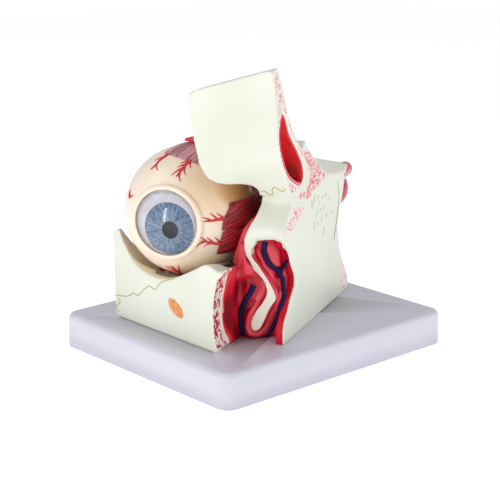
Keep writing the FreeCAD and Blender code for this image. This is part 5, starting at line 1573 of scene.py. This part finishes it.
# %% Vessel trees (eye frame)
TOP_TREES = [
    ([(-6.9, -13.2, 33), (-8.3, -15.3, 31.7), (-10.1, -17.3, 30.2), (-11.2, -19.5, 28.3),
      (-12.7, -21.1, 26.5), (-14.2, -21.6, 25.3)],
     [(-8, -14.9, 32), (-10.2, -15, 31.3), (-12.3, -15.3, 30.4), (-14.2, -15.4, 29.5)],
     [(-9.9, -17.2, 30.3), (-11.6, -17.7, 29.4), (-13.2, -18.5, 28.2)],
     [(-7, -14.4, 32.5), (-6.6, -16.3, 31.7), (-6.4, -17.7, 30.9)],
     [(-9.2, -17, 30.6), (-8.8, -18.7, 29.8), (-7.9, -20.5, 28.8)],
     [(-11.1, -19.6, 28.4), (-10, -21.8, 27.1), (-8.1, -24, 25.9)],
     [(-11.6, -20, 27.8), (-11.7, -21.9, 26.4), (-11.7, -23.4, 25.1)]),
    ([(7.8, -16.3, 31.4), (6.4, -19.6, 29.7), (5.5, -22.3, 28), (4.5, -24.9, 25.9),
      (3.3, -27.1, 23.8)],
     [(7.5, -16.7, 31.2), (5.1, -18.4, 30.8), (2.5, -20, 30.1)],
     [(6.5, -19.4, 29.9), (4.4, -20.7, 29.4), (2.1, -22.8, 28)],
     [(5.4, -22.1, 28.1), (3.2, -24, 27), (0.7, -26.5, 24.7)],
     [(7.9, -16.6, 31.2), (8.8, -19.7, 29.1), (10.1, -21, 27.7)],
     [(6.2, -21.1, 28.8), (6.9, -23.2, 26.9), (8.4, -24.7, 25.1)],
     [(4.8, -24.3, 26.4), (5.3, -26.4, 24.2), (6.9, -28, 21.9)])]
SIDE_TREES = [
    ([(-24.8, -24.4, 10.1), (-26.2, -21.8, 12.2), (-25.7, -21.5, 13.8)],
     [(-24.8, -24.4, 10.1), (-23.1, -25.5, 11.3), (-21.5, -26.5, 12)],
     [(-25.1, -24.2, 9.8), (-25.3, -24.6, 8), (-25.3, -25.1, 6.5)],
     [(-24.7, -24.5, 9.9), (-24.2, -25.3, 9.1), (-23.7, -26.1, 8.3)]),
    ([(29.1, -21.4, 2.4), (26.2, -24.9, 2.3), (23.7, -27.3, 2), (20.2, -30, 2.1)],
     [(28.8, -21.7, 2.8), (27.4, -23.3, 4.4), (25.5, -24.9, 6.3)],
     [(26.5, -24.6, 2.6), (24.9, -25.9, 4.5), (23.2, -27, 6.3)],
     [(23.7, -27.3, 2.3), (22.1, -28.5, 3.4), (19.8, -30, 4.3)],
     [(28.6, -22.1, 1.5), (27, -24.1, -0.2), (25.5, -25.7, -1.8)],
     [(25.7, -25.4, 2), (25, -26.2, 0.5), (23.9, -27.1, -1.1)],
     [(23.2, -27.8, 1.9), (21.6, -29.1, 0.2), (19.9, -30.2, -1.8)]),
    ([(26.8, -21.3, -11.6), (24.5, -24.3, -11), (22, -27, -9.8), (18.5, -29.8, -8.9)],
     [(26.7, -21.8, -11), (26, -23.6, -9), (24.7, -25.6, -6.9)],
     [(24, -25, -10.5), (23, -26.7, -8.5), (21.5, -28.3, -7)],
     [(21.5, -27.5, -9.6), (20.1, -29.1, -7.8), (18.5, -30.5, -6.2)],
     [(25.4, -23.1, -11.5), (23.8, -24.3, -12.4), (22.5, -24.8, -13.8)],
     [(23, -25.9, -10.6), (21, -27.2, -11.3), (19.7, -27.4, -13)],
     [(20.4, -28.3, -9.5), (18.1, -29.5, -10.6), (15.9, -29.9, -12.8)]),
    ([(-0.1, -15, -32.9), (0.8, -20.5, -29.8), (-0.9, -23.3, -27.7), (-4.9, -24.2, -26.4)],
     [(1.2, -18.1, -31.4), (3.2, -23.8, -27.1), (3.8, -26.2, -24.7)],
     [(0, -21.9, -28.8), (0.2, -24.5, -26.7), (-1.1, -25.9, -25.3)],
     [(0.6, -20.8, -29.6), (-3.1, -20, -30), (-6.6, -18.8, -30.2)])]


# %% Vessels, parted at the seam
SEAM_CLEAR = 0.45
TRUNK, BRANCH = (1.05, 0.4), (0.7, 0.22)


def sides_of_seam(trees):
    """Tapering lines from trees, parted where they cross the seam."""
    parts = {"upper": [], "lower": []}
    for tree in trees:
        for number, line in enumerate(tree):
            for side, sign in (("upper", 1), ("lower", -1)):
                kept = [spot for spot in smooth_line(line, 0.5) if sign * spot[2] > SEAM_CLEAR][::2]
                if len(kept) > 4:
                    parts[side].append((kept, *(BRANCH if number else TRUNK)))
    return parts


VESSEL = flat_paint("vessel_red", tint(212, 44, 62), tint(196, 32, 50), 0.3, 0.4)
for side, lines in sides_of_seam(TOP_TREES + SIDE_TREES).items():
    cord_piece("vessels_" + side, lines, EYE, VESSEL, "muscle_red", "eye_" + side,
               surface_of(white[side]), 0.0)

# %% [markdown]
# ## Floor, light and camera
# The model stands on a plain white floor. A soft lamp shines from the upper left, a broader and
# stronger one from the right, and a weak low one from the front. A tall narrow lamp draws the
# pale line on the window. The world lights everything evenly, and the camera sees it as white.

# %% Floor
HALF_FLOOR = 1500.0
corners = [(x * HALF_FLOOR, y * HALF_FLOOR, 0) for x, y in ((-1, -1), (1, -1), (1, 1), (-1, 1))]
floor = mesh_object("floor", corners, [(0, 1, 2, 3)], BASE)
floor_finish = Finish("floor_paper", 0.9, Emission_Color=(1.0, 1.0, 1.0, 1.0),
                      Emission_Strength=0.42)
floor_finish.colour(floor_finish.mix(floor_finish.noise(30.0), tint(250, 250, 250),
                                     tint(252, 252, 252)))
floor.data.materials.append(floor_finish.material)

# %% The camera's line of sight
AZIMUTH, ELEVATION = math.radians(48.17), math.radians(15.43)
SIGHT = Vector((math.sin(AZIMUTH) * math.cos(ELEVATION), -math.cos(AZIMUTH) * math.cos(ELEVATION),
                math.sin(ELEVATION)))
SIDEWAYS = Vector((math.cos(AZIMUTH), math.sin(AZIMUTH), 0.0))
UP = SIGHT.cross(SIDEWAYS)

# %% Lamps
AIM = Vector((0.0, 0.0, 0.08))


def lamp(name, spot, power, width, height):
    """A flat lamp that looks at the model."""
    light = bpy.data.lights.new(name, "AREA")
    light.shape = "RECTANGLE"
    light.energy = power
    light.size, light.size_y = width, height
    made = bpy.data.objects.new(name, light)
    made.location = spot
    made.rotation_euler = (AIM - Vector(spot)).to_track_quat("-Z", "Y").to_euler()
    bpy.context.scene.collection.objects.link(made)


LAMPS = [("key", AIM + SIGHT * 0.2 - SIDEWAYS * 0.7 + UP * 0.7, 1.15, 0.5, 0.5),
         ("fill", AIM + SIGHT * 0.35 + SIDEWAYS * 0.8 + UP * 0.1, 1.9, 0.6, 0.6),
         ("low", AIM + SIGHT * 0.6 - SIDEWAYS * 0.35 - UP * 0.05, 0.35, 0.4, 0.3),
         ("streak", Vector((0.088, -0.554, 0.175)), 0.55, 0.06, 0.3)]
for lamp_sizes in LAMPS:
    lamp(*lamp_sizes)
print("lamps:", len(LAMPS))

# %% World
world = bpy.data.worlds.new("World")
bpy.context.scene.world = world
world.use_nodes = True
nodes, links = world.node_tree.nodes, world.node_tree.links
nodes.clear()
seen = nodes.new("ShaderNodeBackground")
seen.inputs["Color"].default_value = (1.0, 1.0, 1.0, 1.0)
lighting = nodes.new("ShaderNodeBackground")
lighting.inputs["Color"].default_value = (0.95, 0.97, 1.0, 1.0)
lighting.inputs["Strength"].default_value = 0.6
paths = nodes.new("ShaderNodeLightPath")
choose = nodes.new("ShaderNodeMixShader")
output = nodes.new("ShaderNodeOutputWorld")
links.new(paths.outputs["Is Camera Ray"], choose.inputs["Fac"])
links.new(lighting.outputs["Background"], choose.inputs[1])
links.new(seen.outputs["Background"], choose.inputs[2])
links.new(choose.outputs["Shader"], output.inputs["Surface"])

# %% Camera
camera_data = bpy.data.cameras.new("Camera")
camera_data.lens = 103.86
camera_data.sensor_width = 36.0
camera = bpy.data.objects.new("Camera", camera_data)
camera.location = Vector((0.585268, -0.527103, 0.273445))
camera.rotation_euler = (-SIGHT).to_track_quat("-Z", "Y").to_euler()
bpy.context.scene.collection.objects.link(camera)
bpy.context.scene.camera = camera
bpy.context.scene.view_settings.view_transform = "Standard"
